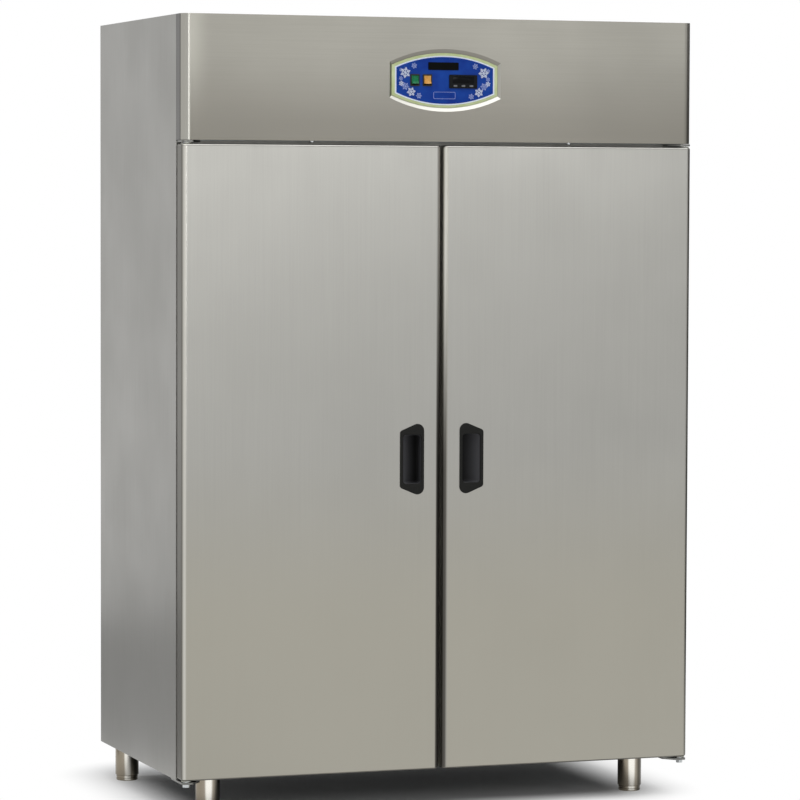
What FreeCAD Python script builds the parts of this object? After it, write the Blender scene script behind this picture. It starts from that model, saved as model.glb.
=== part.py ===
import FreeCAD, Part
import math
import os

Vec = FreeCAD.Vector

# All sizes in millimetres: +X to the right, the front faces -Y, +Z up, origin on the floor at the middle

# Cabinet
overall_width = 1400.0
overall_depth = 790.0
overall_height = 2050.0
underside_height = 100.0
sheet = 1.0
front_sheet = 1.2
liner_sheet = 1.0
side_wall = 60.0
back_wall = 60.0
floor_wall = 92.0
ceiling_wall = 96.0
room_corner_radius = 18.0
side_top_flange = 20.0
mullion_width = 84.0
mullion_depth = 60.0
foam_clearance = 0.2
joint_clearance = 0.05

# Header
header_height = 318.0
header_corner_radius = 22.0
header_top_flange = 25.0
header_seam = 0.5
header_screw_spacing = 706.0
header_screw_setback = 10.0
header_screw_head_radius = 6.5
header_screw_head_height = 5.0

# Control dish, its rim and its plate, all barrel shaped
dish_x = 6.0
dish_width = 305.0
dish_height = 161.0
dish_end_height = 92.0
dish_depth = 6.0
dish_rise = 158.0
bezel_width = 291.0
bezel_height = 141.0
bezel_end_height = 78.0
bezel_thickness = 1.6
field_width = 255.0
field_height = 113.0
field_end_height = 59.0
field_thickness = 1.2
dish_floor_margin = 9.0

# Rocker switches
main_switch_x = dish_x - 82.0
light_switch_x = dish_x - 48.0
switch_width = 26.0
switch_height = 31.0
switch_rim = 2.0
switch_body_inset = 2.2
switch_body_depth = 22.0
switch_well_inset = 3.5
switch_well_depth = 16.0
rocker_side_gap = 0.3
rocker_end_gap = 1.65
rocker_peak = 3.0
rocker_valley = 1.0
rocker_tail = 7.0
rocker_pivot_depth = 5.0
rocker_pin_radius = 1.5
rocker_pin_length = 0.9
rocker_tilt = 10.0

# Thermostat
thermostat_x = dish_x + 50.0
thermostat_drop = 2.5
thermostat_width = 77.0
thermostat_height = 35.0
thermostat_rim = 3.0
thermostat_corner = 2.0
thermostat_body_inset = 3.0
thermostat_body_depth = 58.0
window_width = 60.0
window_height = 18.0
window_rise = 4.5
window_sink = 0.6
key_width = 9.4
key_height = 4.0
key_spacing = 22.0
key_drop = 11.0
key_gap = 0.3
key_depth = 2.4
key_proud = 0.8
key_travel = 0.6

# Doors
door_thickness = 46.0
seal_gap = 9.0
door_gap = 7.0
door_side_inset = 1.0
door_lift = 4.0
door_top_gap = 9.0
door_edge_radius = 13.0
door_rim_radius = 6.0
door_rear_flange = 16.0
door_liner_inset = 4.0
door_pan_margin = 14.0
door_pan_slope = 10.0
door_pan_rise = 5.5
gasket_width = 22.0
gasket_base = 3.0
gasket_lip_width = 14.0
gasket_end_inset = 62.0
gasket_hinge_inset = 30.0
gasket_free_inset = 11.5
gasket_clearance = 0.3

# Recessed handles
handle_proud = 2.5
handle_width = 66.0
handle_wide_height = 201.0
handle_narrow_height = 146.0
handle_wide_radius = 18.0
handle_narrow_radius = 9.0
handle_from_free_edge = 78.5
handle_centre_height = 913.0
handle_body_inset = 4.0
pocket_width = 50.0
pocket_height = 127.0
pocket_depth = 26.0
pocket_shallow_depth = 5.0
pocket_undercut = 2.0
pocket_lip = 5.0
pocket_wall = 2.5

# Hinges
hinge_inset = 16.0
hinge_setback = 16.0
pin_radius = 6.0
pin_engagement = 16.0
bush_radius = 10.0
bush_length = 18.0
bush_flange_radius = 13.0
bush_flange = 2.0
bush_play = 0.3
bracket_thickness = 5.0
bracket_header_gap = 1.0
bracket_nose = 14.0
bracket_width = 56.0
bracket_length = 50.0
bracket_corner = 8.0
bracket_taper = 18.0
bracket_leg_thickness = 4.0
bracket_leg_height = 50.0
bracket_leg_screw_drop = 31.0
bracket_leg_screw_first = 16.0
bracket_leg_screw_pitch = 16.0
bracket_plate_screw_setback = 20.0
bracket_plate_screw_pitch = 18.0
pin_collar_radius = 10.0
pin_nut_width = 16.0
pin_nut_height = 8.0

# Screws
screw_radius = 2.5
screw_head_radius = 5.0
screw_head_height = 2.0
screw_hole_clearance = 0.1
screw_tail = 8.0

# Legs
leg_radius = 31.75
leg_tube_wall = 1.5
leg_plate_size = 90.0
leg_plate_thickness = 5.0
leg_plate_bolt_spacing = 70.0
front_leg_inset = 109.0
front_leg_setback = 136.0
rear_leg_inset = 58.0
rear_leg_setback = 58.0
foot_radius = 29.25
foot_height = 30.0
foot_showing = 15.0
foot_edge = 2.0
foot_stop_gap = 0.3
stud_radius = 8.0
stud_length = 60.0
leg_nut_height = 12.0

# Condensing unit on the deck
unit_y = 110.0
tray_width = 620.0
tray_depth = 380.0
tray_sheet = 1.5
tray_flange = 8.0
compressor_x = -160.0
compressor_radius = 88.0
compressor_height = 185.0
compressor_seam_height = 100.0
compressor_seam = 5.0
compressor_dome_radius = 40.0
compressor_foot_length = 210.0
compressor_foot_width = 140.0
compressor_foot_thickness = 3.0
terminal_width = 60.0
terminal_depth = 34.0
terminal_height = 70.0
grommet_radius = 11.0
grommet_height = 12.0
grommet_edge = 16.0
condenser_x = 215.0
condenser_length = 300.0
condenser_depth = 70.0
condenser_height = 240.0
condenser_tubes = 8
coil_fin_pitch = 12.0
coil_fin = 1.0
coil_plate = 1.5
coil_tube_radius = 4.5
coil_stub = 18.0
shroud_depth = 18.0
shroud_sheet = 1.2
shroud_ring_length = 14.0
condenser_fan_radius = 100.0
fan_tip_gap = 6.0
fan_hub_length = 20.0
fan_blade_chord = 50.0
fan_blade_thickness = 1.6
fan_blade_pitch = 26.0
fan_blades = 5
fan_run_gap = 3.0
motor_radius = 34.0
motor_length = 52.0
motor_shaft_radius = 4.0
motor_bearing_depth = 24.0
motor_arm_width = 12.0
motor_arm_thickness = 3.0
line_front_gap = 45.0
line_spacing = 26.0
line_bend = 22.0
suction_radius = 5.0
liquid_radius = 3.2
drier_radius = 11.0
drier_length = 95.0
line_height = 112.0
pipe_hole_radius = 26.0
pipe_pair_spacing = 22.0
electrical_box_width = 160.0
electrical_box_depth = 120.0
electrical_box_height = 140.0
electrical_box_inset = 140.0
electrical_box_y = 170.0
electrical_box_corner = 6.0

# Rear grille and cable gland
grille_recess = 20.0
grille_slot_length = 420.0
grille_slot_height = 9.0
grille_slot_pitch = 22.0
grille_slot_rows = 10
grille_slot_x = 250.0
grille_slot_radius = 4.2
gland_inset = 140.0
gland_rise = 60.0
gland_thread_radius = 10.0
gland_nut_radius = 14.0
gland_bore_radius = 4.5
gland_outside = 12.0
gland_inside = 8.0

# Evaporator under the ceiling of the cold room
evaporator_cover_width = 860.0
evaporator_cover_height = 150.0
evaporator_cover_depth = 280.0
evaporator_cover_gap = 22.0
evaporator_length = 640.0
evaporator_depth = 60.0
evaporator_height = 120.0
evaporator_tubes = 4
evaporator_from_back = 90.0
evaporator_fan_spacing = 430.0
evaporator_fan_radius = 60.0
evaporator_motor_radius = 24.0
evaporator_motor_length = 40.0
guard_ring = 6.0
guard_thickness = 3.0
guard_arm_width = 7.0
lamp_length = 380.0
lamp_width = 44.0
lamp_height = 26.0
lamp_setback = 130.0
lamp_corner = 8.0

# Shelves
upright_width = 25.0
upright_depth = 12.0
upright_sheet = 1.5
upright_foot_gap = 30.0
upright_length = 1200.0
upright_front_setback = 130.0
upright_rear_setback = 110.0
runner_width = 22.0
runner_height = 18.0
runner_sheet = 1.5
runner_end_gap = 4.0
shelf_levels = 3
shelf_first_height = 324.0
shelf_pitch = 320.0
shelf_side_gap = 2.0
shelf_end_gap = 20.0
shelf_rim_radius = 3.5
shelf_side_radius = 3.0
shelf_bar_radius = 2.5
shelf_wire_radius = 2.0
shelf_wire_pitch = 26.0
shelf_cross_bars = 3

# Planes that the pieces share
half_width = overall_width / 2
back_y = (overall_depth + handle_proud) / 2
front_y = back_y - overall_depth
face_y = front_y + door_thickness + seal_gap
door_back_y = front_y + door_thickness
base_z = underside_height
header_z = overall_height - header_height
door_bottom_z = base_z + door_lift
door_top_z = header_z - door_top_gap
inside_x = half_width - sheet
room_x = half_width - side_wall
room_back_y = back_y - back_wall
room_front_y = face_y + front_sheet
floor_z = base_z + floor_wall
ceiling_z = header_z - ceiling_wall
dish_z = header_z + dish_rise
dish_floor_y = front_y + dish_depth
plate_front_y = dish_floor_y - field_thickness
hinge_x = -half_width + hinge_inset
hinge_y = front_y + hinge_setback
door_hinge_x = -half_width + door_side_inset
door_free_x = -door_gap / 2


# Shapes
def block(x0, x1, y0, y1, z0, z1):
    return Part.makeBox(x1 - x0, y1 - y0, z1 - z0, Vec(x0, y0, z0))


def rod(radius, start, end):
    return Part.makeCylinder(radius, (end - start).Length, start, end - start)


def rounded_outline(corners):
    """Closed wire in the XY plane through corners given as (x, y, radius)."""
    count = len(corners)
    edges = []
    last_end = None
    first_start = None
    for index in range(count):
        corner = Vec(corners[index][0], corners[index][1], 0)
        before = Vec(corners[index - 1][0], corners[index - 1][1], 0)
        after = Vec(corners[(index + 1) % count][0], corners[(index + 1) % count][1], 0)
        into = (corner - before).normalize()
        out = (after - corner).normalize()
        radius = corners[index][2]
        half_turn = into.getAngle(out) / 2
        reach = radius * math.tan(half_turn)
        start = corner - into * reach
        end = corner + out * reach
        if last_end is not None:
            edges.append(Part.LineSegment(last_end, start).toShape())
        else:
            first_start = start
        if radius > 0:
            inward = (out - into).normalize()
            middle = corner + inward * (radius / math.cos(half_turn) - radius)
            edges.append(Part.Arc(start, middle, end).toShape())
        last_end = end
    edges.append(Part.LineSegment(last_end, first_start).toShape())
    return Part.Wire(edges)


def plan_prism(corners, z0, z1):
    """Upright prism on an outline seen from above."""
    face = Part.Face(rounded_outline(corners))
    return face.extrude(Vec(0, 0, z1 - z0)).translated(Vec(0, 0, z0))


def front_prism(corners, y0, y1):
    """Prism through the depth on an outline of (x, z, radius) seen from the front."""
    flat = plan_prism(corners, 0, y1 - y0)
    return flat.rotated(Vec(0, 0, 0), Vec(1, 0, 0), 90).translated(Vec(0, y1, 0))


def rectangle(x0, x1, z0, z1, radius=0.0):
    return [(x0, z0, radius), (x1, z0, radius), (x1, z1, radius), (x0, z1, radius)]


def front_rectangle_wire(x0, x1, z0, z1, y):
    return Part.makePolygon([Vec(x0, y, z0), Vec(x1, y, z0), Vec(x1, y, z1), Vec(x0, y, z1), Vec(x0, y, z0)])


def barrel_wire(width, height, end_height, y):
    """Barrel outline round the control dish's centre: straight ends, arched top and bottom."""
    left = dish_x - width / 2
    right = dish_x + width / 2
    end = end_height / 2
    crown = height / 2
    low_left = Vec(left, y, dish_z - end)
    low_right = Vec(right, y, dish_z - end)
    high_right = Vec(right, y, dish_z + end)
    high_left = Vec(left, y, dish_z + end)
    return Part.Wire([
        Part.Arc(low_left, Vec(dish_x, y, dish_z - crown), low_right).toShape(),
        Part.LineSegment(low_right, high_right).toShape(),
        Part.Arc(high_right, Vec(dish_x, y, dish_z + crown), high_left).toShape(),
        Part.LineSegment(high_left, low_left).toShape(),
    ])


def barrel_prism(width, height, end_height, y0, y1):
    face = Part.Face(barrel_wire(width, height, end_height, y0))
    return face.extrude(Vec(0, y1 - y0, 0))


def fuse_all(shapes):
    if len(shapes) == 1:
        return shapes[0]
    return shapes[0].multiFuse(shapes[1:]).removeSplitter()


def mirrored(shape):
    return shape.mirror(Vec(0, 0, 0), Vec(1, 0, 0))


def fillet_where(shape, radius, chosen):
    edges = [edge for edge in shape.Edges if chosen(edge)]
    return shape.makeFillet(radius, edges)


def runs_along(edge, axis):
    """True for a straight edge along 0 (X), 1 (Y) or 2 (Z)."""
    if len(edge.Vertexes) < 2:
        return False
    span = edge.Vertexes[-1].Point - edge.Vertexes[0].Point
    return abs(abs(span[axis]) - edge.Length) < 1e-6


def screw(seat, into, tail, head_radius=screw_head_radius, head_height=screw_head_height):
    """Pan-head screw whose head sits on seat and whose shank runs along into."""
    head = rod(head_radius, seat - into * head_height, seat)
    shank = rod(screw_radius, seat, seat + into * tail)
    return head.fuse(shank).removeSplitter()


def screw_hole(seat, into, tail):
    return rod(screw_radius + screw_hole_clearance, seat - into, seat + into * (tail + 1))


def bent_tube(points, radius):
    """Tube of straight runs joined by tangent arcs."""
    edges = []
    start = points[0]
    for before, corner, after in zip(points, points[1:], points[2:]):
        into = (corner - before).normalize()
        out = (after - corner).normalize()
        half_turn = into.getAngle(out) / 2
        reach = line_bend * math.tan(half_turn)
        inward = (out - into).normalize()
        middle = corner + inward * (line_bend / math.cos(half_turn) - line_bend)
        edges.append(Part.LineSegment(start, corner - into * reach).toShape())
        edges.append(Part.Arc(corner - into * reach, middle, corner + out * reach).toShape())
        start = corner + out * reach
    edges.append(Part.LineSegment(start, points[-1]).toShape())
    profile = Part.Wire(Part.makeCircle(radius, points[0], points[1] - points[0]))
    return Part.Wire(edges).makePipeShell([profile], True, False)


def axial_fan(tip_radius, hub_radius, shaft_length):
    """Fan on the Z axis: hub from 0 upwards, pitched blades, and a shaft that runs down into the motor."""
    hub = rod(hub_radius, Vec(0, 0, 0), Vec(0, 0, fan_hub_length))
    shaft = rod(motor_shaft_radius, Vec(0, 0, -shaft_length), Vec(0, 0, 0))
    blades = []
    for index in range(fan_blades):
        blade = block(hub_radius / 2, tip_radius + fan_blade_chord,
                      -fan_blade_chord / 2, fan_blade_chord / 2,
                      -fan_blade_thickness / 2, fan_blade_thickness / 2)
        blade = blade.rotated(Vec(0, 0, 0), Vec(1, 0, 0), fan_blade_pitch)
        blade = blade.translated(Vec(0, 0, fan_hub_length / 2))
        blades.append(blade.rotated(Vec(0, 0, 0), Vec(0, 0, 1), 360.0 / fan_blades * index))
    sweep = rod(tip_radius, Vec(0, 0, 0), Vec(0, 0, fan_hub_length))
    return fuse_all([hub.fuse(shaft)] + [blade.common(sweep) for blade in blades])


def coil_tube_height(height, tubes, index):
    return height - height / tubes * (index + 0.5)


def finned_coil(length, depth, height, tubes, plate_top):
    """Serpentine tube through a stack of fins, along X, with its two open ends on the low X side."""
    middle = depth / 2
    pieces = [block(x, x + coil_plate, 0, depth, 0, plate_top) for x in (0, length - coil_plate)]
    fin_count = int((length - coil_fin_pitch) / coil_fin_pitch)
    for index in range(1, fin_count + 1):
        x = index * length / (fin_count + 1)
        pieces.append(block(x, x + coil_fin, 0, depth, 0, height))
    bend_radius = height / tubes / 2
    for index in range(tubes):
        z = coil_tube_height(height, tubes, index)
        open_end = index in (0, tubes - 1)
        near = -coil_stub if open_end else 0
        pieces.append(rod(coil_tube_radius, Vec(near, middle, z), Vec(length, middle, z)))
        if index < tubes - 1:
            at_far_end = index % 2 == 0
            centre = Vec(length if at_far_end else 0, middle, z - bend_radius)
            bend = Part.makeTorus(bend_radius, coil_tube_radius, centre, Vec(0, 1, 0))
            reach = bend_radius + coil_tube_radius
            x0 = centre.x if at_far_end else centre.x - reach
            half = block(x0, x0 + reach, 0, depth, centre.z - reach, centre.z + reach)
            pieces.append(bend.common(half))
    return fuse_all(pieces)


# Outer sheets of the cabinet
side_panel = block(-half_width, -inside_x, face_y, back_y, base_z, overall_height)
side_panel = side_panel.fuse(block(-half_width, -half_width + side_top_flange, face_y, back_y,
                                   overall_height - sheet, overall_height)).removeSplitter()
back_panel = block(-inside_x, inside_x, back_y - sheet, back_y, base_z, header_z)
base_panel = block(-inside_x, inside_x, face_y, back_y - sheet, base_z, base_z + sheet)
top_deck = block(-inside_x, inside_x, face_y, back_y - sheet, header_z - sheet, header_z)

# Face frame, with one opening for the cold room
face_frame = block(-inside_x, inside_x, face_y, room_front_y, base_z + sheet, header_z - sheet)
face_frame = face_frame.cut(front_prism(rectangle(-room_x, room_x, floor_z, ceiling_z, room_corner_radius),
                                        face_y, room_front_y))


# Liner of the cold room, open at the front
def room_block(grow):
    """The cold room's rounded space, grown outwards by the liner's sheet."""
    space = block(-room_x - grow, room_x + grow, room_front_y, room_back_y + grow,
                  floor_z - grow, ceiling_z + grow)
    return fillet_where(space, room_corner_radius + grow,
                        lambda edge: runs_along(edge, 1) or edge.CenterOfMass.y > room_back_y + grow - sheet)


inner_liner = room_block(liner_sheet).cut(room_block(0.0))

# Foam panels round the liner: floor, ceiling, back and sides
liner_room = liner_sheet + foam_clearance
foam_x = room_x + liner_room
foam_back_y = room_back_y + liner_room
foam_rear_y = back_y - sheet
foam_floor_z = floor_z - liner_room
foam_ceiling_z = ceiling_z + liner_room
foam_floor = block(-inside_x, inside_x, room_front_y, foam_rear_y, base_z + sheet, foam_floor_z)
foam_ceiling = block(-inside_x, inside_x, room_front_y, foam_rear_y, foam_ceiling_z, header_z - sheet)
foam_back = block(-inside_x, inside_x, foam_back_y, foam_rear_y, foam_floor_z, foam_ceiling_z)
foam_side = block(-inside_x, -foam_x, room_front_y, foam_back_y, foam_floor_z, foam_ceiling_z)

# Centre post between the doors, a closed steel section
mullion_x = mullion_width / 2
centre_mullion = block(-mullion_x, mullion_x, face_y, face_y + mullion_depth, floor_z, ceiling_z)
centre_mullion = centre_mullion.cut(block(-mullion_x + front_sheet, mullion_x - front_sheet,
                                          face_y + front_sheet, face_y + mullion_depth - front_sheet,
                                          floor_z, ceiling_z))


# Header: folded fascia with round corners, a bottom plate, a top flange and the pressed dish
def header_plan(inset, back):
    radius = header_corner_radius - inset
    return [(-half_width + inset, back, 0), (-half_width + inset, front_y + inset, radius),
            (half_width - inset, front_y + inset, radius), (half_width - inset, back, 0)]


header_back_y = face_y - header_seam
header_panel = plan_prism(header_plan(0, header_back_y), header_z, overall_height)
header_panel = header_panel.cut(plan_prism(header_plan(front_sheet, header_back_y), header_z + front_sheet,
                                           overall_height - front_sheet))
header_panel = header_panel.cut(block(-half_width + header_top_flange, half_width - header_top_flange,
                                      front_y + header_top_flange, header_back_y,
                                      overall_height - front_sheet, overall_height))


def dish_solid(grow, floor_y):
    """The dish's tapering space, grown outwards by the sheet for its back."""
    mouth = barrel_wire(dish_width + 2 * grow, dish_height + 2 * grow, dish_end_height + 2 * grow, front_y)
    floor = barrel_wire(bezel_width + 2 * grow, bezel_height + 2 * grow, bezel_end_height + 2 * grow, floor_y)
    return Part.makeLoft([mouth, floor], True, True)


dish_cavity = dish_solid(0.0, dish_floor_y)
header_panel = header_panel.fuse(dish_solid(front_sheet, dish_floor_y + front_sheet)).cut(dish_cavity)
controls_opening = rectangle(main_switch_x - switch_width / 2, thermostat_x + thermostat_width / 2,
                             dish_z - field_end_height / 2 + dish_floor_margin,
                             dish_z + field_end_height / 2 - dish_floor_margin, 0.0)
header_panel = header_panel.cut(front_prism(controls_opening, dish_floor_y, dish_floor_y + front_sheet))

# Control plate in its rim
bezel_front_y = dish_floor_y - bezel_thickness
control_bezel = barrel_prism(bezel_width - 2 * foam_clearance, bezel_height - 2 * foam_clearance,
                             bezel_end_height - 2 * foam_clearance, bezel_front_y, dish_floor_y)
control_bezel = control_bezel.common(dish_cavity)
control_bezel = control_bezel.cut(barrel_prism(field_width, field_height, field_end_height,
                                               bezel_front_y, dish_floor_y))
control_plate = barrel_prism(field_width - 2 * foam_clearance, field_height - 2 * foam_clearance,
                             field_end_height - 2 * foam_clearance, plate_front_y, dish_floor_y)


# Rocker switches
def switch_section(x, inset, y0, y1):
    return block(x - switch_width / 2 + inset, x + switch_width / 2 - inset, y0, y1,
                 dish_z - switch_height / 2 + inset, dish_z + switch_height / 2 - inset)


switch_front_y = plate_front_y - switch_rim
rocker_pivot_y = switch_front_y + rocker_pivot_depth


def switch_housing(x):
    housing = switch_section(x, 0, switch_front_y, plate_front_y)
    housing = housing.fuse(switch_section(x, switch_body_inset, plate_front_y,
                                          plate_front_y + switch_body_depth))
    housing = housing.cut(switch_section(x, switch_well_inset, switch_front_y,
                                         switch_front_y + switch_well_depth))
    pin_reach = switch_width / 2 - switch_well_inset + rocker_pin_length
    pivot = rod(rocker_pin_radius + joint_clearance, Vec(x - pin_reach, rocker_pivot_y, dish_z),
                Vec(x + pin_reach, rocker_pivot_y, dish_z))
    return housing.cut(pivot).removeSplitter()


def rocker(x):
    """Rocker paddle with a hollow in its face, tipped to its off side."""
    half_height = switch_height / 2 - switch_well_inset - rocker_end_gap
    half_span = switch_width / 2 - switch_well_inset - rocker_side_gap
    tail_y = switch_front_y + rocker_tail
    profile = Part.makePolygon([
        Vec(x - half_span, switch_front_y - rocker_peak, dish_z - half_height),
        Vec(x - half_span, switch_front_y - rocker_valley, dish_z),
        Vec(x - half_span, switch_front_y - rocker_peak, dish_z + half_height),
        Vec(x - half_span, tail_y, dish_z + half_height - rocker_valley),
        Vec(x - half_span, tail_y, dish_z - half_height + rocker_valley),
        Vec(x - half_span, switch_front_y - rocker_peak, dish_z - half_height),
    ])
    paddle = Part.Face(profile).extrude(Vec(2 * half_span, 0, 0))
    pin_reach = half_span + rocker_side_gap + rocker_pin_length - 2 * joint_clearance
    pin = rod(rocker_pin_radius, Vec(x - pin_reach, rocker_pivot_y, dish_z),
              Vec(x + pin_reach, rocker_pivot_y, dish_z))
    paddle = paddle.fuse(pin).removeSplitter()
    return paddle.rotated(Vec(x, rocker_pivot_y, dish_z), Vec(1, 0, 0), -rocker_tilt)


switch_housings = Part.makeCompound([switch_housing(main_switch_x), switch_housing(light_switch_x)])
for switch_x in (main_switch_x, light_switch_x):
    control_plate = control_plate.cut(switch_section(switch_x, switch_body_inset - foam_clearance,
                                                     plate_front_y, dish_floor_y))

# Thermostat with its sunk display and three keys
thermostat_z = dish_z - thermostat_drop
thermostat_front_y = plate_front_y - thermostat_rim


def thermostat_section(inset, corner, y0, y1):
    half_x = thermostat_width / 2 - inset
    half_z = thermostat_height / 2 - inset
    return front_prism(rectangle(thermostat_x - half_x, thermostat_x + half_x,
                                 thermostat_z - half_z, thermostat_z + half_z, corner), y0, y1)


def key_box(index, gap, y0, y1):
    x = thermostat_x + (index - 1) * key_spacing
    z = thermostat_z - key_drop
    return block(x - key_width / 2 - gap, x + key_width / 2 + gap, y0, y1,
                 z - key_height / 2 - gap, z + key_height / 2 + gap)


thermostat_body = thermostat_section(0, thermostat_corner, thermostat_front_y, plate_front_y)
thermostat_body = thermostat_body.fuse(thermostat_section(thermostat_body_inset, 0, plate_front_y,
                                                          plate_front_y + thermostat_body_depth))
thermostat_body = thermostat_body.cut(block(
    thermostat_x - window_width / 2, thermostat_x + window_width / 2, thermostat_front_y,
    thermostat_front_y + window_sink, thermostat_z + window_rise - window_height / 2,
    thermostat_z + window_rise + window_height / 2))
key_back_y = thermostat_front_y + key_depth
keys = []
for key_index in range(3):
    thermostat_body = thermostat_body.cut(key_box(key_index, key_gap, thermostat_front_y,
                                                  key_back_y + key_travel + key_gap))
    keys.append(key_box(key_index, 0, thermostat_front_y - key_proud, key_back_y))
thermostat_body = thermostat_body.removeSplitter()
control_plate = control_plate.cut(thermostat_section(thermostat_body_inset - foam_clearance, 0,
                                                     plate_front_y, dish_floor_y))


# Left door; the right one is its mirror image
def door_block(inset):
    """The door's box with round front edges, drawn in by a sheet or a clearance."""
    solid = block(door_hinge_x + inset, door_free_x - inset, front_y + inset, door_back_y - inset,
                  door_bottom_z + inset, door_top_z - inset)
    solid = fillet_where(solid, door_edge_radius - inset,
                         lambda edge: runs_along(edge, 2) and edge.CenterOfMass.y < hinge_y)
    rear_y = door_back_y - inset - sheet
    return fillet_where(solid, door_rim_radius - inset,
                        lambda edge: not runs_along(edge, 2) and edge.CenterOfMass.y < rear_y)


rear_opening = (door_hinge_x + door_rear_flange, door_free_x - door_rear_flange,
                door_bottom_z + door_rear_flange, door_top_z - door_rear_flange)
door_skin = door_block(0).cut(door_block(sheet))
door_skin = door_skin.cut(block(rear_opening[0], rear_opening[1], door_back_y - sheet, door_back_y,
                                rear_opening[2], rear_opening[3]))
door_insulation = door_block(sheet + foam_clearance)
door_insulation = door_insulation.fuse(block(
    rear_opening[0] + foam_clearance, rear_opening[1] - foam_clearance, door_back_y - sheet - 1, door_back_y,
    rear_opening[2] + foam_clearance, rear_opening[3] - foam_clearance)).removeSplitter()

# Seal: a magnetic strip profile running round the back of the door
gasket_back_y = face_y - gasket_clearance
gasket_front_y = door_back_y + liner_sheet
gasket_outer = (door_hinge_x + gasket_hinge_inset, door_free_x - gasket_free_inset,
                door_bottom_z + gasket_end_inset, door_top_z - gasket_end_inset)


def gasket_ring(inset, width, y0, y1):
    x0, x1, z0, z1 = gasket_outer
    outer = block(x0 + inset, x1 - inset, y0, y1, z0 + inset, z1 - inset)
    hole = inset + width
    return outer.cut(block(x0 + hole, x1 - hole, y0, y1, z0 + hole, z1 - hole))


lip_inset = (gasket_width - gasket_lip_width) / 2
door_gasket = gasket_ring(0, gasket_width, gasket_front_y, gasket_front_y + gasket_base).fuse(
    gasket_ring(lip_inset, gasket_lip_width, gasket_front_y + gasket_base, gasket_back_y)).removeSplitter()

# Inner door panel with a raised pan inside the seal
pan_inset = gasket_width + door_pan_margin


def pan_outline(inset, y):
    x0, x1, z0, z1 = gasket_outer
    return front_rectangle_wire(x0 + inset, x1 - inset, z0 + inset, z1 - inset, y)


pan_solid = Part.makeLoft([
    pan_outline(pan_inset, door_back_y),
    pan_outline(pan_inset + door_pan_slope, gasket_front_y + door_pan_rise)], True, True)
door_liner = block(door_hinge_x + door_liner_inset, door_free_x - door_liner_inset,
                   door_back_y, gasket_front_y,
                   door_bottom_z + door_liner_inset, door_top_z - door_liner_inset)
door_liner = door_liner.fuse(pan_solid).cut(pan_solid.translated(Vec(0, -liner_sheet, 0))).removeSplitter()

# Recessed handle: a moulded rim and a pocket that is deep behind the free-edge lip
handle_x = door_free_x - handle_from_free_edge
handle_front_y = front_y - handle_proud
handle_body_y = handle_front_y + pocket_depth + pocket_wall


def handle_outline(inset):
    """Trapezium that is taller on the free-edge side."""
    narrow = handle_narrow_height / 2 - inset
    wide = handle_wide_height / 2 - inset
    x0 = handle_x - handle_width / 2 + inset
    x1 = handle_x + handle_width / 2 - inset
    narrow_radius = handle_narrow_radius - inset
    wide_radius = handle_wide_radius - inset
    z = handle_centre_height
    return [(x0, z - narrow, narrow_radius), (x1, z - wide, wide_radius),
            (x1, z + wide, wide_radius), (x0, z + narrow, narrow_radius)]


handle_rim = front_prism(handle_outline(0), handle_front_y, front_y)
handle_body = front_prism(handle_outline(handle_body_inset), front_y, handle_body_y)
pocket_x0 = handle_x - pocket_width / 2
pocket_x1 = handle_x + pocket_width / 2
pocket_z0 = handle_centre_height - pocket_height / 2
pocket_section = Part.makePolygon([
    Vec(pocket_x0, handle_front_y, pocket_z0),
    Vec(pocket_x1, handle_front_y, pocket_z0),
    Vec(pocket_x1, handle_front_y + pocket_lip, pocket_z0),
    Vec(pocket_x1 + pocket_undercut, handle_front_y + pocket_lip, pocket_z0),
    Vec(pocket_x1 + pocket_undercut, handle_front_y + pocket_depth, pocket_z0),
    Vec(pocket_x1 - pocket_lip, handle_front_y + pocket_depth, pocket_z0),
    Vec(pocket_x0, handle_front_y + pocket_shallow_depth, pocket_z0),
    Vec(pocket_x0, handle_front_y, pocket_z0),
])
pocket = Part.Face(pocket_section).extrude(Vec(0, 0, pocket_height))
door_handle = handle_rim.fuse(handle_body).cut(pocket).removeSplitter()
handle_hole = front_prism(handle_outline(handle_body_inset - foam_clearance), front_y,
                          handle_body_y + foam_clearance)
door_skin = door_skin.cut(handle_hole)
door_insulation = door_insulation.cut(handle_hole)


# Nylon bushes in the door's ends, turning on the hinge pins
def hinge_point(z):
    return Vec(hinge_x, hinge_y, z)


def bush(end_z, inward):
    """Blind bush pressed into a door end; inward is +1 at the bottom end and -1 at the top end."""
    body = rod(bush_radius, hinge_point(end_z), hinge_point(end_z + inward * bush_length))
    flange = rod(bush_flange_radius, hinge_point(end_z - inward * bush_flange), hinge_point(end_z))
    bore = rod(pin_radius + joint_clearance, hinge_point(end_z - inward * bush_flange),
               hinge_point(end_z + inward * (pin_engagement + bush_play)))
    return body.fuse(flange).cut(bore).removeSplitter()


def bush_hole(end_z, inward, clearance):
    return rod(bush_radius + clearance, hinge_point(end_z - inward),
               hinge_point(end_z + inward * (bush_length + foam_clearance)))


door_ends = ((door_bottom_z, 1), (door_top_z, -1))
door_bushes = Part.makeCompound([bush(end_z, inward) for end_z, inward in door_ends])
for end_z, inward in door_ends:
    door_skin = door_skin.cut(bush_hole(end_z, inward, joint_clearance))
    door_insulation = door_insulation.cut(bush_hole(end_z, inward, foam_clearance))

# Hinge brackets and pins on the left side
top_bracket_z = header_z - bracket_header_gap - bracket_thickness
nose_y = hinge_y - bracket_nose
bracket_x0 = hinge_x - bracket_nose
bracket_x1 = bracket_x0 + bracket_width
pin_hole_radius = pin_radius + joint_clearance


def bracket_plan(back):
    return [(bracket_x0, back, 0), (bracket_x0, nose_y, bracket_corner),
            (hinge_x + bracket_nose, nose_y, bracket_corner),
            (bracket_x1, nose_y + bracket_taper + bracket_nose, bracket_corner), (bracket_x1, back, 0)]


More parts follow.
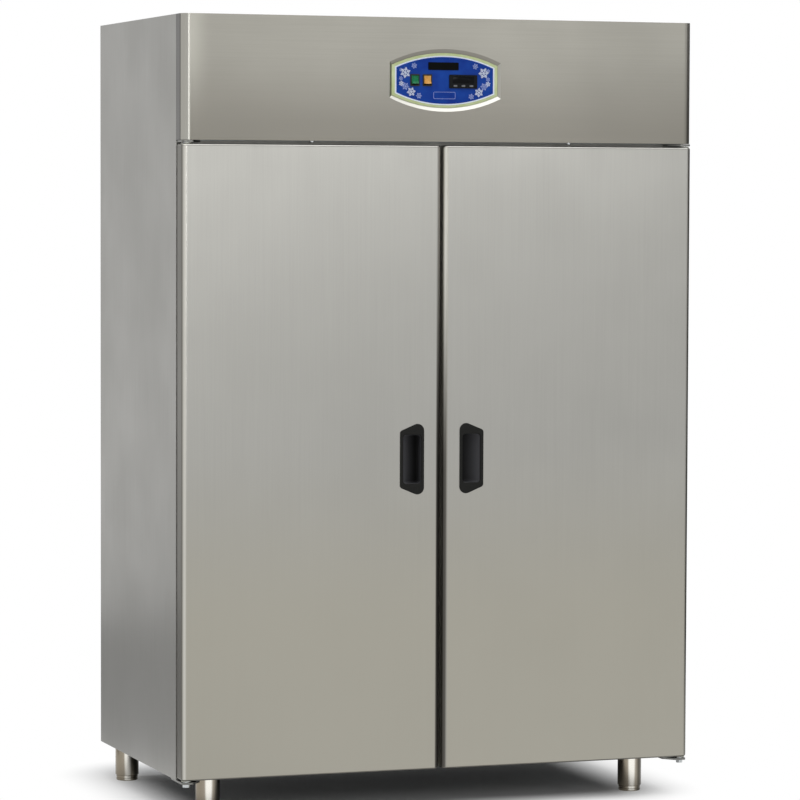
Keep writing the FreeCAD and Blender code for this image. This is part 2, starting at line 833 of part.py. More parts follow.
top_bracket = plan_prism(bracket_plan(face_y), top_bracket_z, top_bracket_z + bracket_thickness)
top_bracket = top_bracket.fuse(block(bracket_x0, bracket_x1, face_y - bracket_leg_thickness, face_y,
                                     top_bracket_z + bracket_thickness - bracket_leg_height,
                                     top_bracket_z + bracket_thickness)).removeSplitter()
top_bracket = top_bracket.cut(rod(pin_hole_radius, hinge_point(top_bracket_z),
                                  hinge_point(top_bracket_z + bracket_thickness)))
bottom_bracket_z = base_z - bracket_thickness
bottom_bracket = plan_prism(bracket_plan(face_y + bracket_length), bottom_bracket_z, base_z)
bottom_bracket = bottom_bracket.cut(rod(pin_hole_radius, hinge_point(bottom_bracket_z), hinge_point(base_z)))
top_pin = rod(pin_radius, hinge_point(door_top_z - pin_engagement),
              hinge_point(top_bracket_z + bracket_thickness))
nut_radius = pin_nut_width / math.sqrt(3)
nut_outline = [(hinge_x + nut_radius * math.cos(math.radians(60 * step)),
                hinge_y + nut_radius * math.sin(math.radians(60 * step)), 0) for step in range(6)]
bottom_pin = fuse_all([
    plan_prism(nut_outline, bottom_bracket_z - pin_nut_height, bottom_bracket_z),
    rod(pin_radius, hinge_point(bottom_bracket_z), hinge_point(door_bottom_z + pin_engagement)),
    rod(pin_collar_radius, hinge_point(base_z), hinge_point(door_bottom_z - bush_flange - bush_play)),
])

# Screws, with their holes in what they hold
up = Vec(0, 0, 1)
inwards = Vec(0, 1, 0)
screws = []
for side in (-1, 1):
    seat = Vec(side * header_screw_spacing / 2, front_y + header_screw_setback, header_z)
    screws.append(screw(seat, up, screw_tail, header_screw_head_radius, header_screw_head_height))
    header_panel = header_panel.cut(screw_hole(seat, up, screw_tail))
leg_screw_y = face_y - bracket_leg_thickness
for index in range(2):
    x = hinge_x + bracket_leg_screw_first + index * bracket_leg_screw_pitch
    seat = Vec(x, leg_screw_y, top_bracket_z + bracket_thickness - bracket_leg_screw_drop)
    tail = bracket_leg_thickness + front_sheet
    hole = screw_hole(seat, inwards, tail - 1)
    screws += [screw(seat, inwards, tail), mirrored(screw(seat, inwards, tail))]
    top_bracket = top_bracket.cut(hole)
    face_frame = face_frame.cut(hole).cut(mirrored(hole))
plate_tail = bracket_thickness + sheet
outer_x = bracket_x0 + bracket_corner
inner_x = bracket_x1 - bracket_corner
for x, row in ((outer_x, 1), (inner_x, 0), (inner_x, 1)):
    y = face_y + bracket_plate_screw_setback + row * bracket_plate_screw_pitch
    seat = Vec(x, y, bottom_bracket_z)
    hole = screw_hole(seat, up, plate_tail - 1)
    screws += [screw(seat, up, plate_tail), mirrored(screw(seat, up, plate_tail))]
    bottom_bracket = bottom_bracket.cut(hole)
    base_panel = base_panel.cut(hole).cut(mirrored(hole))

# Legs: a tube on a screwed plate, and a foot that screws in and out
leg_places = {
    "front_left": (-half_width + front_leg_inset, front_y + front_leg_setback),
    "front_right": (half_width - front_leg_inset, front_y + front_leg_setback),
    "rear_left": (-half_width + rear_leg_inset, back_y - rear_leg_setback),
    "rear_right": (half_width - rear_leg_inset, back_y - rear_leg_setback),
}
leg_plate_z = base_z - leg_plate_thickness
leg_nut_z = foot_height + foot_stop_gap


def leg_tube(x, y):
    half = leg_plate_size / 2
    plate = block(x - half, x + half, y - half, y + half, leg_plate_z, base_z)
    wall = rod(leg_radius, Vec(x, y, foot_showing), Vec(x, y, leg_plate_z))
    wall = wall.cut(rod(leg_radius - leg_tube_wall, Vec(x, y, foot_showing), Vec(x, y, leg_plate_z)))
    nut_bottom = Vec(x, y, leg_nut_z)
    nut_top = Vec(x, y, leg_nut_z + leg_nut_height)
    nut = rod(leg_radius - leg_tube_wall / 2, nut_bottom, nut_top)
    nut = nut.cut(rod(stud_radius + joint_clearance, nut_bottom, nut_top))
    return fuse_all([plate, wall, nut])


def foot(x, y):
    pad = rod(foot_radius, Vec(x, y, 0), Vec(x, y, foot_height))
    pad = fillet_where(pad, foot_edge, lambda edge: edge.CenterOfMass.z < foot_edge)
    stud = rod(stud_radius, Vec(x, y, foot_height), Vec(x, y, foot_height + stud_length))
    return pad.fuse(stud).removeSplitter()


legs = []
for x, y in leg_places.values():
    tube = leg_tube(x, y)
    for across in (-1, 1):
        for along in (-1, 1):
            reach = leg_plate_bolt_spacing / 2
            seat = Vec(x + across * reach, y + along * reach, leg_plate_z)
            tail = leg_plate_thickness + sheet
            screws.append(screw(seat, up, tail))
            hole = screw_hole(seat, up, tail - 1)
            tube = tube.cut(hole)
            base_panel = base_panel.cut(hole)
    legs.append(tube)

# Condensing unit: tray, compressor on rubber grommets, finned condenser with its shroud and fan
tray_z = header_z + tray_sheet


def tray_block(inset, z):
    half_x = tray_width / 2 - inset
    half_y = tray_depth / 2 - inset
    return block(-half_x, half_x, unit_y - half_y, unit_y + half_y, z, header_z + tray_flange)


unit_base = tray_block(0.0, header_z).cut(tray_block(tray_sheet, tray_z))
compressor_z = tray_z + grommet_height


def compressor_shell():
    """Welded steel pot with a seam round its middle."""
    r = compressor_radius
    dome = compressor_dome_radius
    seam_z = compressor_seam_height
    slope = math.sqrt(0.5) * dome
    bottom_mid = Vec(r - dome + slope, 0, dome - slope)
    top_mid = Vec(r - dome + slope, 0, compressor_height - dome + slope)
    points = [Vec(r, 0, dome), Vec(r, 0, seam_z), Vec(r + compressor_seam, 0, seam_z),
              Vec(r + compressor_seam, 0, seam_z + compressor_seam), Vec(r, 0, seam_z + compressor_seam),
              Vec(r, 0, compressor_height - dome)]
    edges = [Part.LineSegment(Vec(0, 0, 0), Vec(r - dome, 0, 0)).toShape(),
             Part.Arc(Vec(r - dome, 0, 0), bottom_mid, points[0]).toShape()]
    edges += [Part.LineSegment(a, b).toShape() for a, b in zip(points, points[1:])]
    edges += [Part.Arc(points[-1], top_mid, Vec(r - dome, 0, compressor_height)).toShape(),
              Part.LineSegment(Vec(r - dome, 0, compressor_height), Vec(0, 0, compressor_height)).toShape(),
              Part.LineSegment(Vec(0, 0, compressor_height), Vec(0, 0, 0)).toShape()]
    return Part.Face(Part.Wire(edges)).revolve(Vec(0, 0, 0), Vec(0, 0, 1), 360)


foot_half_x = compressor_foot_length / 2
foot_half_y = compressor_foot_width / 2
compressor_foot = block(-foot_half_x, foot_half_x, -foot_half_y, foot_half_y, 0, compressor_foot_thickness)
terminal_cover = block(-terminal_width / 2, terminal_width / 2, compressor_radius - terminal_depth / 2,
                       compressor_radius + terminal_depth / 2, compressor_dome_radius,
                       compressor_dome_radius + terminal_height)
stub_reach = compressor_radius + coil_stub
discharge_stub = rod(coil_tube_radius, Vec(0, 0, line_height), Vec(0, -stub_reach, line_height))
suction_stub = rod(suction_radius, Vec(0, 0, line_height), Vec(-stub_reach, 0, line_height))
compressor = fuse_all([compressor_shell(), compressor_foot, terminal_cover, discharge_stub, suction_stub])
compressor_centre = Vec(compressor_x, unit_y, compressor_z)
compressor = compressor.translated(compressor_centre)
grommet_x = foot_half_x - grommet_edge
grommet_y = foot_half_y - grommet_edge
compressor_grommets = []
for across in (-1, 1):
    for along in (-1, 1):
        centre = compressor_centre + Vec(across * grommet_x, along * grommet_y, 0)
        compressor_grommets.append(rod(grommet_radius, centre - up * grommet_height, centre))

coil_front_y = unit_y - condenser_length / 2
coil_place = Vec(condenser_x + condenser_depth, coil_front_y, tray_z)
condenser_coil = finned_coil(condenser_length, condenser_depth, condenser_height, condenser_tubes,
                             condenser_height)
condenser_coil = condenser_coil.rotated(Vec(0, 0, 0), up, 90).translated(coil_place)

fan_z = tray_z + condenser_height / 2
shroud_hole = condenser_fan_radius + fan_tip_gap
shroud_x = condenser_x - shroud_depth
ring_x = shroud_x - shroud_ring_length


def along_x(radius, x0, x1):
    """Round bar on the condenser fan's axis."""
    return rod(radius, Vec(x0, unit_y, fan_z), Vec(x1, unit_y, fan_z))


def shroud_block(inset):
    return block(shroud_x + inset, condenser_x, coil_front_y + inset, coil_front_y + condenser_length - inset,
                 tray_z + inset, tray_z + condenser_height - inset)


fan_shroud = shroud_block(0.0).cut(shroud_block(shroud_sheet))
fan_shroud = fan_shroud.fuse(along_x(shroud_hole + shroud_sheet, ring_x, shroud_x + shroud_sheet))
fan_shroud = fan_shroud.cut(along_x(shroud_hole, ring_x, shroud_x + shroud_sheet)).removeSplitter()

fan_start_x = ring_x + fan_run_gap
motor_face_x = fan_start_x - fan_run_gap
arm_x = motor_face_x - fan_run_gap - motor_arm_thickness
arm_reach = shroud_hole + shroud_sheet + motor_arm_width
motor_parts = [along_x(motor_radius, arm_x - motor_length + motor_arm_thickness, motor_face_x)]
for quarter in range(4):
    arm = block(arm_x, arm_x + motor_arm_thickness, unit_y, unit_y + arm_reach, fan_z - motor_arm_width / 2,
                fan_z + motor_arm_width / 2)
    leg = block(arm_x, shroud_x, unit_y + arm_reach - motor_arm_thickness, unit_y + arm_reach,
                fan_z - motor_arm_width / 2, fan_z + motor_arm_width / 2)
    turned = arm.fuse(leg).rotated(Vec(0, unit_y, fan_z), Vec(1, 0, 0), 45 + 90 * quarter)
    motor_parts.append(turned)
condenser_fan_motor = fuse_all(motor_parts)
condenser_fan_motor = condenser_fan_motor.cut(along_x(motor_shaft_radius + joint_clearance,
                                                      motor_face_x - motor_bearing_depth, motor_face_x))
condenser_fan = axial_fan(condenser_fan_radius, motor_radius - fan_run_gap, motor_bearing_depth)
condenser_fan = condenser_fan.rotated(Vec(0, 0, 0), Vec(0, 1, 0), 90)
condenser_fan = condenser_fan.translated(Vec(fan_start_x, unit_y, fan_z))

# Evaporator hung under the ceiling
evaporator_y = room_back_y - evaporator_from_back
evaporator_z = ceiling_z - evaporator_height - 2 * liner_sheet
evaporator_coil = finned_coil(evaporator_length, evaporator_depth, evaporator_height, evaporator_tubes,
                              ceiling_z - evaporator_z)
evaporator_coil = evaporator_coil.translated(Vec(-evaporator_length / 2, evaporator_y - evaporator_depth / 2,
                                                 evaporator_z))
cover_x = evaporator_cover_width / 2
cover_back_y = room_back_y - evaporator_cover_gap
cover_front_y = cover_back_y - evaporator_cover_depth
cover_z = ceiling_z - evaporator_cover_height
evaporator_cover = block(-cover_x, cover_x, cover_front_y, cover_back_y, cover_z, ceiling_z)
evaporator_cover = evaporator_cover.cut(block(-cover_x + front_sheet, cover_x - front_sheet,
                                              cover_front_y + front_sheet, cover_back_y,
                                              cover_z + front_sheet, ceiling_z))
fan_centre_z = (cover_z + ceiling_z) / 2
guard_hole = evaporator_fan_radius + fan_tip_gap
motor_back_y = cover_front_y - guard_thickness + evaporator_motor_length
evaporator_fan_y = motor_back_y + fan_run_gap
evaporator_fan = axial_fan(evaporator_fan_radius, evaporator_motor_radius, motor_bearing_depth)
evaporator_fan = evaporator_fan.rotated(Vec(0, 0, 0), Vec(1, 0, 0), -90)
guard_front_y = cover_front_y - guard_thickness


def along_y(x, radius, y0, y1):
    """Round bar on an evaporator fan's axis."""
    return rod(radius, Vec(x, y0, fan_centre_z), Vec(x, y1, fan_centre_z))


def guarded_motor(x):
    """Motor held in a wire-guard ring by four arms."""
    guard = along_y(x, guard_hole + guard_ring, guard_front_y, cover_front_y)
    guard = guard.cut(along_y(x, guard_hole - guard_ring / 2, guard_front_y, cover_front_y))
    pieces = [guard, along_y(x, evaporator_motor_radius, guard_front_y, motor_back_y)]
    for quarter in range(4):
        arm = block(x, x + guard_hole, guard_front_y, cover_front_y, fan_centre_z - guard_arm_width / 2,
                    fan_centre_z + guard_arm_width / 2)
        pieces.append(arm.rotated(Vec(x, 0, fan_centre_z), inwards, 45 + 90 * quarter))
    bearing_radius = motor_shaft_radius + joint_clearance
    return fuse_all(pieces).cut(along_y(x, bearing_radius, motor_back_y - motor_bearing_depth, motor_back_y))


evaporator_fans = []
evaporator_fan_motors = []
for side in (-1, 1):
    fan_x = side * evaporator_fan_spacing / 2
    fan_hole = along_y(fan_x, guard_hole, cover_front_y, cover_front_y + front_sheet)
    evaporator_cover = evaporator_cover.cut(fan_hole)
    evaporator_fan_motors.append(guarded_motor(fan_x))
    evaporator_fans.append(evaporator_fan.translated(Vec(fan_x, evaporator_fan_y, fan_centre_z)))

# Refrigerant lines: hot gas, liquid with its drier, and suction through the deck to the evaporator
coil_x = condenser_x + condenser_depth / 2
coil_end_y = coil_front_y - coil_stub
gas_y = coil_front_y - line_front_gap
liquid_y = gas_y - line_spacing
gas_z = tray_z + coil_tube_height(condenser_height, condenser_tubes, 0)
liquid_z = tray_z + coil_tube_height(condenser_height, condenser_tubes, condenser_tubes - 1)
stub_z = compressor_z + line_height
evaporator_end_x = -evaporator_length / 2 - coil_stub
liquid_drop_x = evaporator_end_x - line_bend - suction_radius
suction_drop_x = liquid_drop_x - pipe_pair_spacing
evaporator_in_z = evaporator_z + coil_tube_height(evaporator_height, evaporator_tubes, 0)
evaporator_out_z = evaporator_z + coil_tube_height(evaporator_height, evaporator_tubes, evaporator_tubes - 1)
gas_start = compressor_centre + Vec(0, -stub_reach, line_height)
gas_line = bent_tube([gas_start, Vec(compressor_x, gas_y, stub_z), Vec(compressor_x, gas_y, gas_z),
                      Vec(coil_x, gas_y, gas_z), Vec(coil_x, coil_end_y, gas_z)], coil_tube_radius)
liquid_line = bent_tube([Vec(coil_x, coil_end_y, liquid_z), Vec(coil_x, liquid_y, liquid_z),
                         Vec(liquid_drop_x, liquid_y, liquid_z), Vec(liquid_drop_x, evaporator_y, liquid_z),
                         Vec(liquid_drop_x, evaporator_y, evaporator_in_z),
                         Vec(evaporator_end_x, evaporator_y, evaporator_in_z)], liquid_radius)
liquid_line = liquid_line.fuse(rod(drier_radius, Vec(-drier_length / 2, liquid_y, liquid_z),
                                   Vec(drier_length / 2, liquid_y, liquid_z))).removeSplitter()
suction_start = compressor_centre + Vec(-stub_reach, 0, line_height)
suction_line = bent_tube([suction_start, Vec(suction_drop_x, unit_y, stub_z),
                          Vec(suction_drop_x, evaporator_y, stub_z),
                          Vec(suction_drop_x, evaporator_y, evaporator_out_z),
                          Vec(evaporator_end_x, evaporator_y, evaporator_out_z)], suction_radius)
pipe_hole_x = (liquid_drop_x + suction_drop_x) / 2
pipe_hole = rod(pipe_hole_radius, Vec(pipe_hole_x, evaporator_y, ceiling_z - liner_sheet),
                Vec(pipe_hole_x, evaporator_y, header_z + 1))
top_deck = top_deck.cut(pipe_hole)
foam_ceiling = foam_ceiling.cut(pipe_hole)
inner_liner = inner_liner.cut(pipe_hole)

# Electrical box on the deck
electrical_box_x = -half_width + electrical_box_inset
box_half_x = electrical_box_width / 2
box_half_y = electrical_box_depth / 2
electrical_box = plan_prism([
    (electrical_box_x - box_half_x, electrical_box_y - box_half_y, electrical_box_corner),
    (electrical_box_x + box_half_x, electrical_box_y - box_half_y, electrical_box_corner),
    (electrical_box_x + box_half_x, electrical_box_y + box_half_y, electrical_box_corner),
    (electrical_box_x - box_half_x, electrical_box_y + box_half_y, electrical_box_corner),
], header_z, header_z + electrical_box_height)

# Rear grille, set in from the back, with the gland of the mains lead
grille_back_y = back_y - grille_recess
grille_front_y = grille_back_y - sheet
rear_grille = block(-inside_x, inside_x, grille_front_y, grille_back_y, header_z, overall_height - sheet)
slots = []
for side in (-1, 1):
    for row in range(grille_slot_rows):
        z = (header_z + overall_height) / 2 + (row - (grille_slot_rows - 1) / 2) * grille_slot_pitch
        x = side * grille_slot_x
        slots.append(front_prism(rectangle(x - grille_slot_length / 2, x + grille_slot_length / 2,
                                           z - grille_slot_height / 2, z + grille_slot_height / 2,
                                           grille_slot_radius), grille_front_y, grille_back_y))
gland_x = -half_width + gland_inset
gland_z = header_z + gland_rise


def gland_bar(radius, y0, y1):
    return rod(radius, Vec(gland_x, y0, gland_z), Vec(gland_x, y1, gland_z))


gland_hole = gland_bar(gland_thread_radius + joint_clearance, grille_front_y, grille_back_y)
rear_grille = rear_grille.cut(slots + [gland_hole])
gland_in_y = grille_front_y - gland_inside
gland_out_y = grille_back_y + gland_outside
cable_gland = fuse_all([gland_bar(gland_thread_radius, gland_in_y, gland_out_y),
                        gland_bar(gland_nut_radius, grille_front_y - gland_inside / 2, grille_front_y),
                        gland_bar(gland_nut_radius, grille_back_y, grille_back_y + gland_outside / 2)])
cable_gland = cable_gland.cut(gland_bar(gland_bore_radius, gland_in_y, gland_out_y))

# Lamp on the ceiling
lamp_y = face_y + lamp_setback
interior_lamp = block(-lamp_length / 2, lamp_length / 2, lamp_y - lamp_width / 2, lamp_y + lamp_width / 2,
                      ceiling_z - lamp_height, ceiling_z)
lamp_mid_z = ceiling_z - lamp_height / 2
interior_lamp = fillet_where(interior_lamp, lamp_corner,
                             lambda edge: runs_along(edge, 0) and edge.CenterOfMass.z < lamp_mid_z)

# Slotted shelf uprights on the walls and the centre line, angle runners, and wire shelves
upright_z0 = floor_z + upright_foot_gap
upright_z1 = upright_z0 + upright_length
wall_upright_ys = (face_y + upright_front_setback, room_back_y - upright_rear_setback)
post_front_y = face_y + mullion_depth
post_ys = (post_front_y, room_back_y - upright_depth)
wall_face_x = room_x - upright_depth
post_face_x = upright_width / 2


def wall_upright(y):
    """Channel on the left wall, its flat face towards the shelves."""
    half = upright_width / 2
    outer = block(-room_x, -wall_face_x, y - half, y + half, upright_z0, upright_z1)
    return outer.cut(block(-room_x, -wall_face_x - upright_sheet, y - half + upright_sheet,
                           y + half - upright_sheet, upright_z0, upright_z1))


def centre_post(y):
    outer = block(-post_face_x, post_face_x, y, y + upright_depth, upright_z0, upright_z1)
    return outer.cut(block(-post_face_x + upright_sheet, post_face_x - upright_sheet, y + upright_sheet,
                           y + upright_depth - upright_sheet, upright_z0, upright_z1))


left_uprights = [wall_upright(y) for y in wall_upright_ys]
shelf_uprights = left_uprights + [mirrored(upright) for upright in left_uprights]
shelf_uprights += [centre_post(y) for y in post_ys]
runner_y0 = post_front_y + runner_end_gap
runner_y1 = room_back_y - runner_end_gap


def angle_runner(x, towards, z):
    """Angle whose upright leg stands against a post face at x and whose ledge reaches towards the shelf."""
    x_leg = x + towards * runner_sheet
    x_ledge = x + towards * runner_width
    leg = block(min(x, x_leg), max(x, x_leg), runner_y0, runner_y1, z - runner_sheet, z + runner_height)
    ledge = block(min(x, x_ledge), max(x, x_ledge), runner_y0, runner_y1, z - runner_sheet, z)
    return leg.fuse(ledge).removeSplitter()


shelf_x0 = -wall_face_x + runner_sheet + shelf_side_gap
shelf_x1 = -post_face_x - runner_sheet - shelf_side_gap
shelf_y0 = post_front_y + upright_depth + shelf_end_gap
shelf_y1 = room_back_y - upright_depth - shelf_end_gap


def wire_shelf():
    """Welded wire grid for the left bay, resting at height 0."""
    r = shelf_rim_radius
    x0, x1, y0, y1 = shelf_x0 + r, shelf_x1 - r, shelf_y0 + r, shelf_y1 - r
    rods = [rod(r, Vec(shelf_x0, y, r), Vec(shelf_x1, y, r)) for y in (y0, y1)]
    rods += [rod(shelf_side_radius, Vec(x, y0, r), Vec(x, y1, r)) for x in (x0, x1)]
    wires = int((x1 - x0) / shelf_wire_pitch)
    for index in range(1, wires):
        x = x0 + (x1 - x0) * index / wires
        rods.append(rod(shelf_wire_radius, Vec(x, y0, r), Vec(x, y1, r)))
    for index in range(1, shelf_cross_bars + 1):
        y = y0 + (y1 - y0) * index / (shelf_cross_bars + 1)
        rods.append(rod(shelf_bar_radius, Vec(x0, y, r), Vec(x1, y, r)))
    return fuse_all(rods)


shelf = wire_shelf()
shelf_runners = []
wire_shelves = []
for level in range(shelf_levels):
    z = floor_z + shelf_first_height + level * shelf_pitch
    level_runners = [angle_runner(-wall_face_x, 1, z), angle_runner(-post_face_x, -1, z)]
    placed = shelf.translated(Vec(0, 0, z))
    shelf_runners += level_runners + [mirrored(runner) for runner in level_runners]
    wire_shelves += [placed, mirrored(placed)]

# Every piece under its own name
left_door = {
    "door_skin": door_skin,
    "door_insulation": door_insulation,
    "door_liner": door_liner,
    "door_gasket": door_gasket,
    "door_handle": door_handle,
    "door_bushes": door_bushes,
}
nodes = {
    "left_side_panel": side_panel,
    "right_side_panel": mirrored(side_panel),
    "back_panel": back_panel,
    "base_panel": base_panel,
    "top_deck": top_deck,
    "face_frame": face_frame,
    "inner_liner": inner_liner,
    "insulation": Part.makeCompound([foam_floor, foam_ceiling, foam_back, foam_side, mirrored(foam_side)]),
    "centre_mullion": centre_mullion,
    "header_panel": header_panel.removeSplitter(),
    "screws": Part.makeCompound(screws),
    "control_bezel": control_bezel,
    "control_plate": control_plate,
    "switch_housings": switch_housings,
    "main_switch_rocker": rocker(main_switch_x),
    "light_switch_rocker": rocker(light_switch_x),
    "thermostat_body": thermostat_body,
    "set_key": keys[0],
    "up_key": keys[1],
    "down_key": keys[2],
    "hinge_brackets": Part.makeCompound([top_bracket, mirrored(top_bracket),
                                         bottom_bracket, mirrored(bottom_bracket)]),
    "hinge_pins": Part.makeCompound([top_pin, mirrored(top_pin), bottom_pin, mirrored(bottom_pin)]),
    "leg_tubes": Part.makeCompound(legs),
    "unit_base": unit_base,
    "compressor": compressor,
    "compressor_grommets": Part.makeCompound(compressor_grommets),
    "condenser_coil": condenser_coil,
    "fan_shroud": fan_shroud,
    "condenser_fan_motor": condenser_fan_motor,
    "condenser_fan": condenser_fan,
    "refrigerant_lines": Part.makeCompound([gas_line, liquid_line, suction_line]),
    "electrical_box": electrical_box,
    "cable_gland": cable_gland,
    "rear_grille": rear_grille,
    "evaporator_cover": evaporator_cover,
    "evaporator_coil": evaporator_coil,
    "evaporator_fan_motors": Part.makeCompound(evaporator_fan_motors),
    "evaporator_fan_left": evaporator_fans[0],
    "evaporator_fan_right": evaporator_fans[1],
    "interior_lamp": interior_lamp,
    "shelf_uprights": Part.makeCompound(shelf_uprights),
    "shelf_runners": Part.makeCompound(shelf_runners),
    "wire_shelves": Part.makeCompound(wire_shelves),
}
for place, (x, y) in leg_places.items():
    nodes[place + "_foot"] = foot(x, y)
for name, shape in left_door.items():
    nodes["left_" + name] = shape
    nodes["right_" + name] = mirrored(shape)

os.makedirs("parts", exist_ok=True)
for name, shape in nodes.items():
    shape.exportStep("parts/" + name + ".step")
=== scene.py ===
"""The looks of a two-door upright refrigerator, piece by piece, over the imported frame."""
import math

import bmesh
import bpy
from mathutils import Matrix, Vector


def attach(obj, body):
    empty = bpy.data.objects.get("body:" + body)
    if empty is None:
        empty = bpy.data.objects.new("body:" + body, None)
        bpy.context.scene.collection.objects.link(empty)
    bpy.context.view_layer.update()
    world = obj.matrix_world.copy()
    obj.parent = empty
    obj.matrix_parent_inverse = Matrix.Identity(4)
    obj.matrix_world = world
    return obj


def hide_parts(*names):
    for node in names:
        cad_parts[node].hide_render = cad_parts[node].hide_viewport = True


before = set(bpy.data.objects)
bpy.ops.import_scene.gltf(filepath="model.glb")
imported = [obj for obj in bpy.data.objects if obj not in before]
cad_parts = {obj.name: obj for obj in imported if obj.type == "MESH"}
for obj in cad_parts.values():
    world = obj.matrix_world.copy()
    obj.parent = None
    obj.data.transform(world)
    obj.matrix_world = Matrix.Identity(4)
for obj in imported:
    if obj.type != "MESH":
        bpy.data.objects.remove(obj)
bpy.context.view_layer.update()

# Foam: rigid polyurethane, poured between the sheets and left to cure there. It fills the
# walls and both doors, and its skin shows only at the few places that no sheet covers.
mm = 0.001


def linear(code):
    """Turns an sRGB hex colour into the linear one that the shader takes."""
    steps = [int(code[place:place + 2], 16) / 255 for place in (1, 3, 5)]
    return [s / 12.92 if s <= 0.04045 else ((s + 0.055) / 1.055) ** 2.4 for s in steps] + [1.0]


def add(tree, kind, inputs=None, **settings):
    """Adds a node; an input given as a socket is linked, anything else is set."""
    node = tree.nodes.new(kind)
    for name, value in settings.items():
        setattr(node, name, value)
    for name, value in (inputs or {}).items():
        socket = node.inputs[name]
        if isinstance(value, bpy.types.NodeSocket):
            tree.links.new(value, socket)
        else:
            socket.default_value = value
    return node


def surface(name, sockets):
    """A new material: its tree, its shader with these sockets set, and object coordinates."""
    material = bpy.data.materials.new(name)
    material.use_nodes = True
    tree = material.node_tree
    shader = tree.nodes["Principled BSDF"]
    for socket, value in sockets.items():
        shader.inputs[socket].default_value = value
    place = add(tree, "ShaderNodeTexCoord").outputs["Object"]
    return material, tree, shader, place


def two_tone(tree, value, limits, deep, pale, rough):
    """Colour and roughness that run from end to end as a value runs between its limits."""
    run = {"Value": value, "From Min": limits[0], "From Max": limits[1]}
    share = add(tree, "ShaderNodeMapRange", run)
    colour = add(tree, "ShaderNodeMix", {0: share.outputs["Result"], 6: linear(deep), 7: linear(pale)},
                 data_type="RGBA")
    gloss = add(tree, "ShaderNodeMapRange", {**run, "To Min": rough[0], "To Max": rough[1]})
    return colour.outputs[2], gloss.outputs["Result"]


def coat(tree, shader, colour, gloss, bump):
    """Links a finish to its shader: colour, roughness and relief."""
    tree.links.new(colour, shader.inputs["Base Color"])
    tree.links.new(gloss, shader.inputs["Roughness"])
    tree.links.new(bump.outputs["Normal"], shader.inputs["Normal"])


def grained(name, deep, pale, grain, rough, relief, sockets):
    """A finish of two close tones in grains of this size, with that much relief, in millimetres."""
    material, tree, shader, place = surface(name, sockets)
    scaled = add(tree, "ShaderNodeMapping", {"Vector": place, "Scale": [1 / (size * mm) for size in grain]})
    noise = add(tree, "ShaderNodeTexNoise", {"Vector": scaled.outputs["Vector"], "Scale": 1.0, "Detail": 3.0})
    grains = noise.outputs["Fac"]
    colour, gloss = two_tone(tree, grains, (0.3, 0.7), deep, pale, rough)
    bump = add(tree, "ShaderNodeBump", {"Height": grains, "Distance": relief * mm})
    coat(tree, shader, colour, gloss, bump)
    return material


def dress(material, *nodes):
    """Puts one finish on CAD nodes whose shape is already right."""
    for name in nodes:
        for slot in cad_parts[name].material_slots:
            slot.material = material


# Rigid foam: straw yellow, dull, with open cells that catch the light as a fine pitting
foam = grained("rigid polyurethane foam", "#CDB478", "#E9D8A6", (3, 3, 3), (0.8, 0.95), 0.6, {})
dress(foam, "insulation", "left_door_insulation", "right_door_insulation")

# Back, base and deck: zinc-coated steel sheet, cut and folded, riveted to the sides before foaming.
# The tray under the condensing unit and the cowl of its fan are pressed from the same sheet.
spangle_size = 16.0
dust_size = 1.5
dust_relief = 0.03


def galvanised(name, deep, pale):
    """Hot-dip zinc: flat crystals a finger wide, each a slightly different grey and gloss."""
    material, tree, shader, place = surface(name, {"Metallic": 1.0})
    crystals = add(tree, "ShaderNodeTexVoronoi", {"Vector": place, "Scale": 1 / (spangle_size * mm)})
    crystal = crystals.outputs["Color"]
    colour = add(tree, "ShaderNodeMix", {0: crystal, 6: linear(deep), 7: linear(pale)}, data_type="RGBA")
    gloss = add(tree, "ShaderNodeMapRange", {"Value": crystal, "To Min": 0.36, "To Max": 0.56})
    dust = add(tree, "ShaderNodeTexNoise", {"Vector": place, "Scale": 1 / (dust_size * mm), "Detail": 2.0})
    bump = add(tree, "ShaderNodeBump", {"Height": dust.outputs["Fac"], "Distance": dust_relief * mm})
    coat(tree, shader, colour.outputs[2], gloss.outputs["Result"], bump)
    return material


# Spangled zinc: cool pale grey, a patchwork of flat crystals that flash one by one
zinc_sheet = galvanised("spangled zinc-coated sheet", "#9AA0A3", "#B9BEC0")
dress(zinc_sheet, "back_panel", "top_deck", "unit_base", "fan_shroud", "rear_grille")

# Painted shade: a darker copy of the zinc-coated sheet, for the base under the cabinet
shaded_zinc = galvanised("zinc-coated sheet in painted shade", "#4C4F50", "#5E6162")
dress(shaded_zinc, "base_panel")

# Sides, front frame and mullion: folded stainless sheet. Each side is one sheet, ground with a belt with
# the grain upright, with a narrow flange at the top; frame and mullion take the seals' magnets.
line_relief = 0.004
cloud_size = 260.0
# painted shade for the doors' folded returns and lower bends
painted_return_shade = "#6E6C66"
left, right, up, down = (-1, 0, 0), (1, 0, 0), (0, 0, 1), (0, 0, -1)


